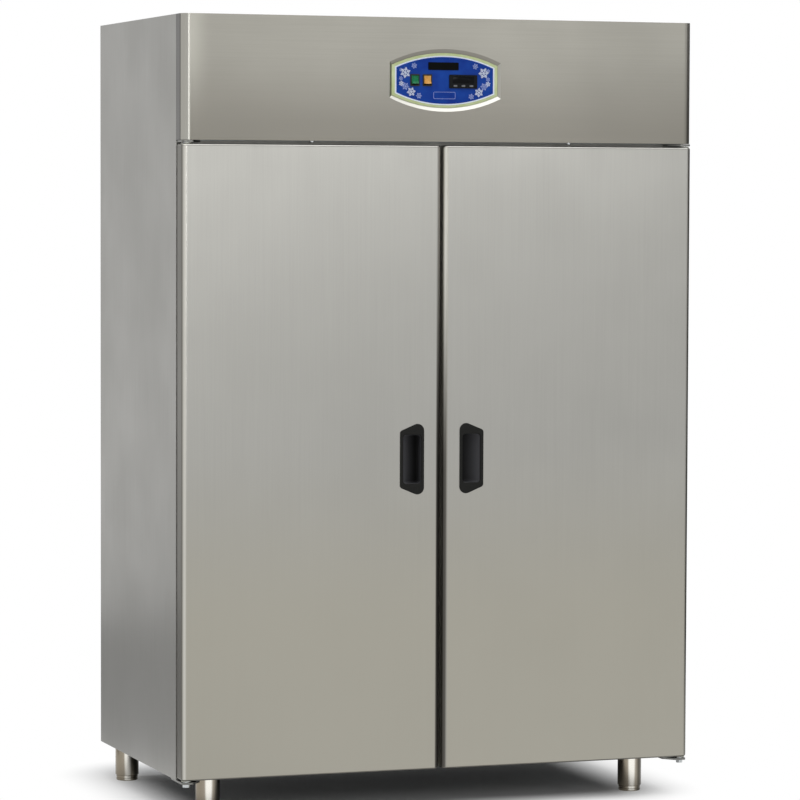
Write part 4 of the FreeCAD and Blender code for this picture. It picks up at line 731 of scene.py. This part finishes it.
arm = add(crystal_tree, "GeometryNodeJoinGeometry")
for length, start, lean in ((1.0, 0.0, 0), (0.36, 0.42, 58), (0.36, 0.42, -58), (0.24, 0.68, 58),
                            (0.24, 0.68, -58)):
    crystal_tree.links.new(crystal_bar(length, start, lean).outputs["Geometry"], arm.inputs["Geometry"])
six = add(crystal_tree, "GeometryNodeMeshLine", {"Count": 6, "Offset": (0, 0, 0)})
index = add(crystal_tree, "GeometryNodeInputIndex")
angle = add(crystal_tree, "ShaderNodeMath", {0: index.outputs["Index"], 1: math.pi / 3}, operation="MULTIPLY")
spin = add(crystal_tree, "ShaderNodeCombineXYZ", {"Y": angle.outputs["Value"]})
star = add(crystal_tree, "GeometryNodeInstanceOnPoints", {"Points": six.outputs["Mesh"],
                                                          "Instance": arm.outputs["Geometry"],
                                                          "Rotation": spin.outputs["Vector"]})
aim = add(crystal_tree, "GeometryNodeInputNamedAttribute", {"Name": "aim"}, data_type="FLOAT_VECTOR")
facing = add(crystal_tree, "FunctionNodeAlignRotationToVector", {"Vector": aim.outputs["Attribute"]},
             axis="Z", pivot_axis="Y")
reach = add(crystal_tree, "ShaderNodeVectorMath", {0: aim.outputs["Attribute"]}, operation="LENGTH")
stars = add(crystal_tree, "GeometryNodeInstanceOnPoints", {"Points": size["Geometry"],
                                                           "Instance": star.outputs["Instances"],
                                                           "Rotation": facing.outputs["Rotation"],
                                                           "Scale": reach.outputs["Value"]})
seal(crystal_tree, stars.outputs["Instances"], size["Finish"])

# place across and up from the plate's middle, arm length and turn in degrees
white_crystals = ((-108, 19, 14, 8), (-92, -30, 12, 22), (-119, -9, 7, 0),
                  (107, 20, 14, 25), (94, -30, 12, 4), (119, -8, 7, 12))
lilac_crystals = ((-120, 4, 6, 15), (-108, -16, 10, 40), (-84, 37, 8, 12), (-71, -40, 8, 30),
                  (-120, 26, 5, 0), (119, 4, 6, 3), (108, -15, 10, 33), (84, 37, 8, 45),
                  (73, -41, 8, 8), (120, 26, 5, 9))
for name, spots, ink in (("white_crystals", white_crystals, white_ink),
                         ("lilac_crystals", lilac_crystals, lilac_ink)):
    seats = [(dish_across + x, plate_front - print_lift / 2, dish_middle + z)
             for x, z, arm_length, turn in spots]
    aims = [(arm_length * math.sin(math.radians(turn)), 0, arm_length * math.cos(math.radians(turn)))
            for x, z, arm_length, turn in spots]
    crystals = grow(name, crystal_tree, {"Arm": crystal_arm * mm, "Width": crystal_width * mm,
                                         "Thickness": crystal_thickness * mm, "Finish": ink}, seats, aims)
    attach(crystals, "cabinet")

# Blank plate and frame: a black acrylic plate stuck on above the switches, and a bare frame printed
# below them. Each has its place across and up from the plate's middle, its width and its height.
badge_place = (-4.0, 36.5, 84.0, 20.0)
label_place = (-1.0, -38.5, 60.0, 18.0)
badge_radius = 2.0
label_radius = 3.0
label_line = 0.9


def outline(corners, inset=0.0, arc=5, edge=1):
    """Points round a convex outline of (x, z, radius) corners, moved inwards by inset."""
    count = len(corners)
    arcs = []
    for i in range(count):
        here, before, after = (Vector(corners[k][:2]) for k in (i, i - 1, (i + 1) % count))
        back, forth = (before - here).normalized(), (after - here).normalized()
        half = back.angle(forth) / 2
        inwards = (back + forth).normalized()
        radius = max(corners[i][2] - inset, 0.2)
        centre = here + inwards * ((inset + radius) / math.sin(half))
        start = here + inwards * (inset / math.sin(half)) + back * (radius / math.tan(half)) - centre
        end = here + inwards * (inset / math.sin(half)) + forth * (radius / math.tan(half)) - centre
        begin = math.atan2(start.y, start.x)
        sweep = math.remainder(math.atan2(end.y, end.x) - begin, 2 * math.pi)
        turns = [begin + sweep * k / arc for k in range(arc + 1)]
        arcs.append([centre + radius * Vector((math.cos(turn), math.sin(turn))) for turn in turns])
    points = []
    for i in range(count):
        points += arcs[i]
        last, following = arcs[i][-1], arcs[(i + 1) % count][0]
        points += [last.lerp(following, k / edge) for k in range(1, edge)]
    return points


def rectangle(x, z, width, height, radius):
    """Corners of an upright rectangle round a middle, each with the same radius."""
    return [(x + across * width / 2, z + rise * height / 2, radius)
            for across, rise in ((-1, -1), (1, -1), (1, 1), (-1, 1))]


badge_shape = bmesh.new()
across, rise, width, height = badge_place
badge = rectangle(dish_across + across, dish_middle + rise, width, height, badge_radius)
skin(badge_shape, [[(x, y, z) for x, z in outline(badge, inset)] for inset, y in (
    (0, plate_front + 0.5), (0, plate_front - 0.35), (0.5, plate_front - 0.8))])
# Back-printed acrylic: deep black under a clear face
black_print = grained("back-printed acrylic", "#050605", "#0A0B0A", (20, 20, 20), (0.3, 0.4), 0.01,
                      {"Specular IOR Level": 0.04})
badge_plate = solid("badge_plate", badge_shape, black_print)
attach(badge_plate, "cabinet")

label_shape = bmesh.new()
across, rise, width, height = label_place
label = rectangle(dish_across + across, dish_middle + rise, width, height, label_radius)
skin(label_shape, [[(x, y, z) for x, z in outline(label, inset)] for inset, y in (
    (0, plate_front + 0.5), (0, plate_front - print_lift), (label_line, plate_front - print_lift),
    (label_line, plate_front + 0.5))], wrap=True)
label_frame = solid("label_frame", label_shape, lilac_ink)
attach(label_frame, "cabinet")

# Rocker switches: snap-in housings of black plastic with translucent rockers, green for the mains and
# amber for the light. Each rocker tips on two pins in its housing.
switch_places = {"main": dish_across - 82.0, "light": dish_across - 48.0}
switch_width = 26.0
switch_height = 31.0
switch_front = plate_front - 2.0
switch_back = plate_front + 22.0
body_inset = 1.5
rim_round = 0.7
well_inset = 3.5
rocker_half_span = 9.2
rocker_half_height = 10.35
rocker_peak = 3.0
rocker_valley = 1.0
rocker_tail = 7.0
rocker_pivot = switch_front + 5.0
rocker_tilt = -10.0

housing_shape = bmesh.new()
for x_middle in switch_places.values():
    rim_corners = rectangle(x_middle, dish_middle, switch_width, switch_height, 2.0)
    skin(housing_shape, [[(x, y, z) for x, z in outline(rim_corners, inset)] for inset, y in (
        (body_inset, switch_back), (body_inset, plate_front), (0, plate_front),
        (0, switch_front + rim_round), (rim_round, switch_front), (well_inset - rim_round, switch_front),
        (well_inset, switch_front + rim_round), (well_inset, switch_back + 2))])
housings = solid("switch_surrounds", housing_shape, abs_black)
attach(housings, "cabinet")
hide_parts("switch_housings")


def rocker_profile(inset):
    """Side view of a rocker from its pivot: two shoulders with a hollow face between them, and a tail."""
    half = rocker_half_height - inset
    face = []
    for step in range(13):
        share = step / 6 - 1
        proud = rocker_valley + (rocker_peak - rocker_valley) * share * share
        face.append((switch_front - proud + inset, half * share))
    tail = switch_front + rocker_tail - inset
    return face + [(tail, half - 1), (tail, 1 - half)]


tilt = Matrix.Rotation(math.radians(rocker_tilt), 3, "X")
rocker_slices = ((-rocker_half_span, 0.6), (-rocker_half_span + 0.2, 0.2), (-rocker_half_span + 0.6, 0),
                 (rocker_half_span - 0.6, 0), (rocker_half_span - 0.2, 0.2), (rocker_half_span, 0.6))
# Translucent polycarbonate: clear colour with depth, wet shine, paler along its edges
rocker_finishes = {
    "main": grained("green polycarbonate", "#0A6E44", "#127F50", (9, 9, 9), (0.24, 0.32), 0.02,
                    {"Specular IOR Level": 0.2, "Subsurface Weight": 0.1,
                     "Subsurface Radius": (0.001, 0.003, 0.002)}),
    "light": grained("amber polycarbonate", "#D09038", "#E8B364", (9, 9, 9), (0.24, 0.32), 0.02,
                     {"Specular IOR Level": 0.2, "Subsurface Weight": 0.1,
                      "Subsurface Radius": (0.003, 0.002, 0.001)}),
}
for switch, x_middle in switch_places.items():
    pivot = Vector((x_middle, rocker_pivot, dish_middle))
    rocker_shape = bmesh.new()
    slices = []
    for reach, inset in rocker_slices:
        slices.append([pivot + tilt @ Vector((reach, y - rocker_pivot, z)) for y, z in rocker_profile(inset)])
    skin(rocker_shape, slices)
    rocker = solid(switch + "_rocker", rocker_shape, rocker_finishes[switch])
    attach(rocker, switch + "_switch")
    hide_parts(switch + "_switch_rocker")

# Thermostat: a black moulded case with a smoked window over its display, and three soft keys below.
# It sits in a cut-out of the plate.
window_middle = (dish_across + 50.0, 1892.0)
window_size = (60.0, 18.0)
window_floor = plate_front - 2.4
window_face = plate_front - 2.8

# Gloss-black ABS: smooth and deep black, as instrument cases are
case_black = grained("instrument-case ABS", "#0B0D0F", "#111316", (12, 12, 12), (0.3, 0.4), 0.02,
                     {"Specular IOR Level": 0.1})
dress(case_black, "thermostat_body")
# Smoked acrylic: nearly black, with an anti-glare face that blurs the room
smoked = grained("smoked acrylic", "#06070A", "#0A0C0F", (40, 40, 40), (0.22, 0.3), 0.01,
                 {"Specular IOR Level": 0.08})
window_shape = bmesh.new()
pane_corners = rectangle(*window_middle, window_size[0] - 0.6, window_size[1] - 0.6, 1.5)
skin(window_shape, [[(x, y, z) for x, z in outline(pane_corners, inset)] for inset, y in (
    (0, window_floor + 0.3), (0, window_face + 0.2), (0.3, window_face))])
window = solid("display_window", window_shape, smoked)
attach(window, "cabinet")
# Silicone rubber keys: mid grey, dull
silicone = grained("silicone key rubber", "#6A6C70", "#7B7D81", (2, 2, 2), (0.5, 0.6), 0.03, {})
dress(silicone, "set_key", "up_key", "down_key")

# Hinges: plates of thick steel bolted to the cabinet above and below the doors, with a pin on each.
# The door turns on nylon bushes; the lower pin is a bolt with its nut below.
# Zinc-plated plate: grey, satin, a little darker in the rolling marks
plated = grained("zinc-plated steel plate", "#6B6B68", "#83837F", (12, 12, 12), (0.3, 0.42), 0.04,
                 {"Metallic": 1.0})
dress(plated, "hinge_brackets")
# Bright zinc: pale, slightly blue, soft mirror
bright_zinc = grained("bright zinc plate", "#B6BABB", "#CFD2D2", (3, 3, 3), (0.2, 0.3), 0.02,
                      {"Metallic": 1.0})
dress(bright_zinc, "hinge_pins")
# Nylon: ivory, waxy
nylon = grained("moulded nylon", "#D9D6C8", "#E6E3D8", (5, 5, 5), (0.4, 0.5), 0.03,
                {"Subsurface Weight": 0.1})
dress(nylon, "left_door_bushes", "right_door_bushes")

# Doors: a stainless skin with its grain upright, folded at the edges, over foam and a pressed
# stainless inner pan.
# painted reflection: a warmer tint towards the bottom of each door
door_foot = ("#A7A499", ("Object", down, -1000, -450))
# painted shade on the lower bend
door_underside_shade = (painted_return_shade, ("Normal", down, 0.2, 0.5))
# painted light on the folded edges: highlights on the outer bends, shade on the returns, and painted shade on
# the bends beside the gap that darkens towards the floor
left_door_painted_light = (door_foot,
                   ("#C6C4BC", ("Normal", left, 0.1, 0.45)), (painted_return_shade, ("Normal", left, 0.6, 0.99)),
                   ("#9A9891", ("Normal", right, 0.02, 0.4)),
                   ("#3A3834", ("Normal", right, 0.0, 0.25), ("Object", down, -1650, -850)),
                   ("#C0BEB6", ("Normal", right, 0.9, 0.99)), door_underside_shade)
right_door_painted_light = (door_foot,
                    ("#98968F", ("Normal", left, 0.02, 0.15)), ("#D2D0C8", ("Normal", left, 0.3, 0.6)),
                    ("#54524D", ("Normal", left, 0.04, 0.45), ("Object", down, -1500, -850)),
                    ("#C6C4BC", ("Normal", left, 0.93, 0.99)), ("#66645E", ("Normal", right, 0.05, 0.7)),
                    ("#B4B2AA", ("Normal", right, 0.9, 0.99)), door_underside_shade)
for door, tones in (("left", left_door_painted_light), ("right", right_door_painted_light)):
    # Belt-ground stainless: warm grey, fine upright lines, with painted highlights and shade that turn with
    # the folded edges
    door_steel = brushed_steel("belt-ground stainless, " + door + " door", "#A2A19C", "#A6A5A0",
                               (2.5, 2.5, 300), (1, 0.02, 0), (0.3, 0.37), tones=tones)
    dress(door_steel, door + "_door_skin")
dress(liner_steel, "left_door_liner", "right_door_liner")

# Seals: soft vinyl extrusions with a bellows and a magnet strip, welded at the corners and pushed
# into a groove round the inner pan.
seal_box = (-669.0, -15.0, 166.0, 1661.0)
seal_front = -346.75
seal_radius = 4.0
seal_width = 22.0
seal_half = ((0, 0), (0, 2.2), (0.6, 3.0), (4.4, 3.0), (5.8, 3.8), (4.4, 4.6), (4.0, 5.1), (4.0, 6.9),
             (4.6, 7.7))
seal_section = seal_half + tuple((seal_width - inset, height) for inset, height in reversed(seal_half))
door_sides = (("left", 1), ("right", -1))

x_low, x_high, z_low, z_high = seal_box
seal_corners = rectangle((x_low + x_high) / 2, (z_low + z_high) / 2, x_high - x_low, z_high - z_low,
                         seal_radius)
for door, side in door_sides:
    seal_shape = bmesh.new()
    skin(seal_shape, [[(side * x, seal_front + height, z) for x, z in outline(seal_corners, inset, arc=3)]
                      for inset, height in seal_section], wrap=True)
    seal_ring = solid(door + "_seal", seal_shape, rubber)
    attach(seal_ring, door + "_door")
    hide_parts(door + "_door_gasket")

# Handles: black moulded grips let into the skin, taller on the opening side, with a scoop for the
# fingers that deepens towards the door's free edge. They clip in from the front.
handle_front = -396.25
door_front = -393.75
handle_back = -367.75
handle_middle = 913.0
grip_hinge_x, grip_free_x = -115.0, -49.0
hinge_half_height, hinge_radius = 73.0, 9.0
free_half_height, free_radius = 100.5, 18.0
grip_corners = [(grip_hinge_x, handle_middle - hinge_half_height, hinge_radius),
                (grip_free_x, handle_middle - free_half_height, free_radius),
                (grip_free_x, handle_middle + free_half_height, free_radius),
                (grip_hinge_x, handle_middle + hinge_half_height, hinge_radius)]
scoop_hinge_x, scoop_free_x = -107.0, -57.0
scoop_height = 127.0
scoop_radius = 9.0
scoop_corners = rectangle((scoop_hinge_x + scoop_free_x) / 2, handle_middle, scoop_free_x - scoop_hinge_x,
                          scoop_height, scoop_radius)
scoop_shallow = 5.0
scoop_deep = 26.0
scoop_round = 6.0
scoop_lip = 1.3


def scoop_depth(x, inset):
    """How far the scoop lies behind the grip's face at a place, inset from its edge."""
    share = (x - scoop_hinge_x) / (scoop_free_x - scoop_hinge_x)
    floor = scoop_shallow + (scoop_deep - scoop_shallow) * math.sin(math.pi / 2 * share)
    wall = math.sqrt(1 - (1 - min(inset / scoop_round, 1)) ** 2)
    return floor * wall


# Moulded ABS: satin black with a fine grain, with painted light in the scoop: grey where it is shallow and
# painted shade darkening to black in its depth
grip_black = grained("moulded ABS grip", "#212120", "#272725", (2, 2, 2), (0.5, 0.6), 0.04,
                     {"Specular IOR Level": 0.1})
grip_tree = grip_black.node_tree
place = add(grip_tree, "ShaderNodeTexCoord")
depth = add(grip_tree, "ShaderNodeSeparateXYZ", {"Vector": place.outputs["Object"]})
shade = grip_tree.nodes["Mix"]
# painted highlight on the scoop's shallow slope, then painted shade into its depth
for shallow, deep, tone in ((-394.5, -391.0, "#4E4E51"), (-391.0, -371.0, "#080808")):
    share = add(grip_tree, "ShaderNodeMapRange", {"Value": depth.outputs["Y"], "From Min": shallow * mm,
                                                  "From Max": deep * mm})
    shade = add(grip_tree, "ShaderNodeMix", {0: share.outputs["Result"], 6: shade.outputs[2],
                                             7: linear(tone)}, data_type="RGBA")
grip_tree.links.new(shade.outputs[2], grip_tree.nodes["Principled BSDF"].inputs["Base Color"])

for door, side in door_sides:
    rings = [[(x, y, z) for x, z in outline(grip_corners, inset, arc=8, edge=8)] for inset, y in (
        (4.0, handle_back), (4.0, door_front), (0.2, door_front), (0.0, handle_front + 1.4),
        (0.3, handle_front + 0.7), (0.8, handle_front + 0.25), (1.8, handle_front))]
    for inset, y in ((-1.6, handle_front), (-0.7, handle_front + 0.2), (-0.2, handle_front + 0.7)):
        rings.append([(x, y, z) for x, z in outline(scoop_corners, inset, arc=8, edge=8)])
    for inset in (0.0, 0.3, 0.8, 1.5, 2.5, 4.0, 6.0, 9.0, 13.0, 18.0, 23.0):
        rings.append([(x, handle_front + max(scoop_lip, scoop_depth(x, inset)), z)
                      for x, z in outline(scoop_corners, inset, arc=8, edge=8)])
    grip_shape = bmesh.new()
    skin(grip_shape, [[(side * x, y, z) for x, y, z in ring] for ring in rings])
    grip = solid(door + "_grip", grip_shape, grip_black)
    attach(grip, door + "_door")
    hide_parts(door + "_door_handle")

# Screws: zinc-plated pan heads with a cross recess. Two large ones hold the header from below; two hold
# each upper hinge, three each lower one, four each leg plate, and a row the rear grille.
header_head = (6.5, 5.0)
common_head = (5.0, 2.0)
cross_arm = 2.1
cross_width = 0.5
cross_depth = 1.3
header_screw_x, header_screw_y, header_foot = 353.0, -383.75, 1732.0
upper_hinge_screws = (668.0, 652.0)
upper_hinge_y, upper_hinge_z = -342.75, 1700.0
lower_hinge_screws = ((690.0, -300.75), (650.0, -318.75), (650.0, -300.75))
leg_screw = 35.0
grille_screw_places = (-685.0, -475.0, -25.0, 25.0, 475.0, 685.0)
grille_screw_heights = (1745.0, 2036.0)
leg_places = {"front_left": (-591.0, -257.75), "front_right": (591.0, -257.75),
              "rear_left": (-642.0, 338.25), "rear_right": (642.0, 338.25)}
leg_plate_z = 95.0

cross = [(cross_arm, -cross_width), (cross_arm, cross_width), (cross_width, cross_width)]
star_points = []
for quarter in range(4):
    for x, y in cross:
        star_points.append(Vector((x, y)) @ Matrix.Rotation(-math.pi / 2 * quarter, 2))


def head_ring(radius, z):
    """Ring of the screw head, its points in line with those of the cross."""
    return [(*(point.normalized() * radius), z) for point in star_points]


def screw_heads(name, head, seats, aims):
    """Screw heads of one radius and height on their seats, each turned to its aim."""
    radius, height = head
    shape = bmesh.new()
    dome = [head_ring(radius - inset, height * rise) for inset, rise in (
        (0.2, 0.0), (0.0, 0.2), (0.3, 0.55), (1.2, 0.85), (2.4, 1.0))]
    recess = [[(*(point * scale), height - sunk) for point in star_points]
              for scale, sunk in ((1.0, 0), (0.75, cross_depth))]
    skin(shape, dome + recess)
    one_head = solid("one_head", shape, bright_zinc, 40)
    heads = grow(name, place_tree, {"Shape": one_head, "Finish": bright_zinc}, seats, aims)
    bpy.data.objects.remove(one_head)
    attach(heads, "cabinet")
    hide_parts("screws")


header_seats = [(side * header_screw_x, header_screw_y, header_foot) for side in (-1, 1)]
screw_heads("header_screw_heads", header_head, header_seats, [down, down])
towards_back = (0, 1, 0)
seats = []
aims = []
for side in (-1, 1):
    for x in upper_hinge_screws:
        seats.append((side * x, upper_hinge_y, upper_hinge_z))
        aims.append(towards_front)
    for x, y in lower_hinge_screws:
        seats.append((side * x, y, leg_plate_z))
        aims.append(down)
for x, y in leg_places.values():
    for across in (-leg_screw, leg_screw):
        for along in (-leg_screw, leg_screw):
            seats.append((x + across, y + along, leg_plate_z))
            aims.append(down)
for x in grille_screw_places:
    for z in grille_screw_heights:
        seats.append((x, grille_back, z))
        aims.append(towards_back)
screw_heads("common_screw_heads", common_head, seats, aims)

# Legs: stainless tubes welded under square plates that are screwed to the base. A threaded disc in
# each tube takes the stud of its foot.
leg_radius = 31.75
leg_wall = 1.5
tube_foot = 15.0
plate_size = 90.0
plate_radius = 6.0
plate_top = 100.0
stud_radius = 8.0
stud_play = 0.3
disc_low, disc_high = 30.3, 42.3

# Turned and polished stainless: bright, with faint rings that draw reflections out up and down, and painted
# reflections: a white highlight down the front, tan to the left, shade to the right
# the painted highlight faces the lit side and the painted shade the dim side
lit_side = (-0.2, -0.98, 0)
dim_side = (0.8, -0.6, 0)
leg_painted_light = (("#8F8677", ("Normal", left, 0.35, 0.8)), ("#F8F5EC", ("Normal", lit_side, 0.93, 0.99)),
             ("#57534A", ("Normal", dim_side, 0.7, 0.92)))
leg_steel = brushed_steel("ring-polished stainless tube", "#9A9284", "#A39B8D", (60, 60, 1.2), (0, 0.02, 1),
                          (0.14, 0.2), stretch=0.6, tones=leg_painted_light)


def turned(profile, x, y, steps=56):
    """Rings of a turned part about an upright axis, from (radius, height) pairs."""
    around = [(math.cos(2 * math.pi * k / steps), math.sin(2 * math.pi * k / steps)) for k in range(steps)]
    return [[(x + radius * c, y + radius * s, z) for c, s in around] for radius, z in profile]


leg_bore = leg_radius - leg_wall
stud_hole = stud_radius + stud_play
tube_profile = ((leg_radius, leg_plate_z), (leg_radius, tube_foot + 1.0), (leg_radius - 0.3, tube_foot + 0.3),
                (leg_radius - 0.8, tube_foot), (leg_bore, tube_foot + 0.4), (leg_bore, leg_plate_z))
disc_profile = ((leg_bore, disc_low), (stud_hole, disc_low), (stud_hole, disc_high), (leg_bore, disc_high))
leg_shape = bmesh.new()
for x, y in leg_places.values():
    square = rectangle(x, y, plate_size, plate_size, plate_radius)
    skin(leg_shape, [[(a, b, z) for a, b in outline(square, inset)] for inset, z in (
        (0.5, leg_plate_z), (0, leg_plate_z + 0.5), (0, plate_top))])
    skin(leg_shape, turned(tube_profile, x, y), wrap=True)
    skin(leg_shape, turned(disc_profile, x, y), wrap=True)
leg_posts = solid("leg_posts", leg_shape, leg_steel)
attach(leg_posts, "cabinet")
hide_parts("leg_tubes")

# Feet: turned stainless pads with two grooves for the fingers and a rounded sole, on a threaded stud
# that screws up and down in the leg.
foot_radius = 29.25
foot_height = 30.0
groove_heights = (6.6, 12.6)
groove_floor = foot_radius - 0.9
thread_foot = 31.0
thread_pitch = 2.0
thread_depth = 0.8
stud_top = 90.0

foot_profile = [(foot_radius - 2.6, 0.0), (foot_radius - 1.0, 0.5), (foot_radius - 0.1, 1.8),
                (foot_radius, 3.0)]
for z in groove_heights:
    foot_profile += [(foot_radius, z), (groove_floor, z + 0.6), (groove_floor, z + 1.6),
                     (foot_radius, z + 2.2)]
foot_profile += [(foot_radius, foot_height - 1.0), (foot_radius - 1.0, foot_height),
                 (stud_radius, foot_height)]
for turn in range(int((stud_top - thread_foot) / thread_pitch)):
    z = thread_foot + turn * thread_pitch
    foot_profile += [(stud_radius, z), (stud_radius - thread_depth, z + thread_pitch / 2)]
foot_profile.append((stud_radius - 1.0, stud_top))
for leg, (x, y) in leg_places.items():
    foot_shape = bmesh.new()
    skin(foot_shape, turned(foot_profile, x, y, 40))
    foot = solid(leg + "_pad", foot_shape, leg_steel, 30)
    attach(foot, leg + "_foot")
    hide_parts(leg + "_foot")

# Studio: a pale floor that turns into the white surround away from the object, a white surround that
# darkens overhead, and soft boxes in front and above. The steel mirrors a white cloth on the floor at
# its left and a grey flag at its right.
floor_half = 30.0
shadow_middle = (-0.01, 0.1, 0.0)
shadow_half = (0.51, 0.3, 1.0)
shadow_reach = (0.03, 0.31)
fill_light = 0.3
ceiling_light = 0.4
crown_light = 0.7


def matt(name, colour):
    """Matt studio paint with a trace of grain."""
    return grained(name, colour, colour, (50, 50, 50), (0.85, 0.95), 0.0, {"Specular IOR Level": 0.1})


def board(name, corners, material):
    """A flat studio board through four corners, in metres."""
    mesh = bpy.data.meshes.new(name)
    mesh.from_pydata(corners, [], [(0, 1, 2, 3)])
    mesh.materials.append(material)
    piece = bpy.data.objects.new(name, mesh)
    bpy.context.collection.objects.link(piece)
    return piece


def seen(tree):
    """One for rays that show the surround: from the camera, in a mirror or through glass."""
    ray = add(tree, "ShaderNodeLightPath")
    direct = add(tree, "ShaderNodeMath", {0: ray.outputs["Is Camera Ray"], 1: ray.outputs["Is Glossy Ray"]},
                 operation="ADD")
    return add(tree, "ShaderNodeMath", {0: direct.outputs["Value"], 1: ray.outputs["Is Transmission Ray"]},
               operation="ADD", use_clamp=True).outputs["Value"]


floor_paint = matt("pale floor paint", "#E6E6E6")
paint = floor_paint.node_tree
spot = add(paint, "ShaderNodeTexCoord")
offset = add(paint, "ShaderNodeVectorMath", {0: spot.outputs["Object"], 1: shadow_middle},
             operation="SUBTRACT")
either = add(paint, "ShaderNodeVectorMath", {0: offset.outputs["Vector"]}, operation="ABSOLUTE")
beyond = add(paint, "ShaderNodeVectorMath", {0: either.outputs["Vector"], 1: shadow_half},
             operation="SUBTRACT")
outside = add(paint, "ShaderNodeVectorMath", {0: beyond.outputs["Vector"], 1: (0, 0, 0)}, operation="MAXIMUM")
reach = add(paint, "ShaderNodeVectorMath", {0: outside.outputs["Vector"]}, operation="LENGTH")
fade = add(paint, "ShaderNodeMapRange", {"Value": reach.outputs["Value"], "From Min": shadow_reach[0],
                                         "From Max": shadow_reach[1]}, interpolation_type="SMOOTHSTEP")
share = add(paint, "ShaderNodeMath", {0: fade.outputs["Result"], 1: seen(paint)}, operation="MULTIPLY")
white = add(paint, "ShaderNodeEmission", {"Color": (1, 1, 1, 1), "Strength": 1.0})
blend = add(paint, "ShaderNodeMixShader", {0: share.outputs["Value"],
                                           1: paint.nodes["Principled BSDF"].outputs["BSDF"],
                                           2: white.outputs["Emission"]})
paint.links.new(blend.outputs["Shader"], paint.nodes["Material Output"].inputs["Surface"])
board("floor", [(-floor_half, -floor_half, 0), (floor_half, -floor_half, 0), (floor_half, floor_half, 0),
                (-floor_half, floor_half, 0)], floor_paint)
flag_paint = matt("grey flag cloth", "#8A8A8A")
cloth = matt("white floor cloth", "#F6F6F6")
left_cloth = board("left_cloth", [(-0.98, 0.35, 0.004), (-4.5, 1.2, 0.004), (-3.6, 4.2, 0.004),
                                  (-0.6, 4.2, 0.004)], cloth)
right_flag = board("right_flag", [(2.6, -1.6, 0.0), (3.0, 3.0, 0.0), (3.0, 3.0, 2.4), (2.6, -1.6, 2.4)],
                   flag_paint)
for piece in (left_cloth, right_flag):
    piece.visible_camera = False

world = bpy.data.worlds.new("studio surround")
bpy.context.scene.world = world
world.use_nodes = True
sky = world.node_tree
direction = add(sky, "ShaderNodeTexCoord")
height = add(sky, "ShaderNodeSeparateXYZ", {"Vector": direction.outputs["Generated"]})
dusk = add(sky, "ShaderNodeMapRange", {"Value": height.outputs["Z"], "From Min": 0.05, "From Max": 0.3,
                                       "To Min": 1.0, "To Max": ceiling_light})
crown = add(sky, "ShaderNodeMapRange", {"Value": height.outputs["Z"], "From Min": 0.35, "From Max": 0.6,
                                        "To Max": crown_light})
mirrored = add(sky, "ShaderNodeMath", {0: dusk.outputs["Result"], 1: crown.outputs["Result"]},
               operation="ADD")
level = add(sky, "ShaderNodeMix", {0: seen(sky), 2: fill_light, 3: mirrored.outputs["Value"]})
sky.links.new(level.outputs[0], sky.nodes["Background"].inputs["Strength"])
sky.nodes["Background"].inputs["Color"].default_value = (1, 1, 1, 1)


def soft_box(name, spot, target, width, height, power):
    """A soft box that looks at a target and stays out of the picture."""
    lamp = bpy.data.lights.new(name, "AREA")
    lamp.shape = "RECTANGLE"
    lamp.size = width
    lamp.size_y = height
    lamp.energy = power
    box = bpy.data.objects.new(name, lamp)
    bpy.context.collection.objects.link(box)
    box.location = spot
    box.rotation_euler = (Vector(target) - Vector(spot)).to_track_quat("-Z", "Y").to_euler()
    box.visible_camera = False


soft_box("overhead box", (0, -0.8, 4.6), (0, -0.4, 0), width=5.0, height=4.4, power=130)
soft_box("front box", (1.9, -6.0, 2.2), (0, -0.4, 1.6), width=2.6, height=0.7, power=11)
soft_box("front strip", (-1.2, -6.4, 2.3), (-0.2, 0, 1.4), width=0.7, height=2.6, power=44)

eye = bpy.data.cameras.new("camera")
eye.sensor_width = 36.0
eye.lens = 170.2
eye.shift_x = -0.0008
camera = bpy.data.objects.new("camera", eye)
bpy.context.collection.objects.link(camera)
camera_place = (-3.3744, -9.5710, 1.5884)
yaw, pitch, roll = 0.3414, -0.0535, 0.0035
gaze = Vector((math.sin(yaw) * math.cos(pitch), math.cos(yaw) * math.cos(pitch), math.sin(pitch)))
camera.matrix_world = (Matrix.Translation(camera_place)
                       @ gaze.to_track_quat("-Z", "Y").to_matrix().to_4x4() @ Matrix.Rotation(roll, 4, "Z"))
bpy.context.scene.camera = camera
bpy.context.scene.view_settings.view_transform = "Standard"
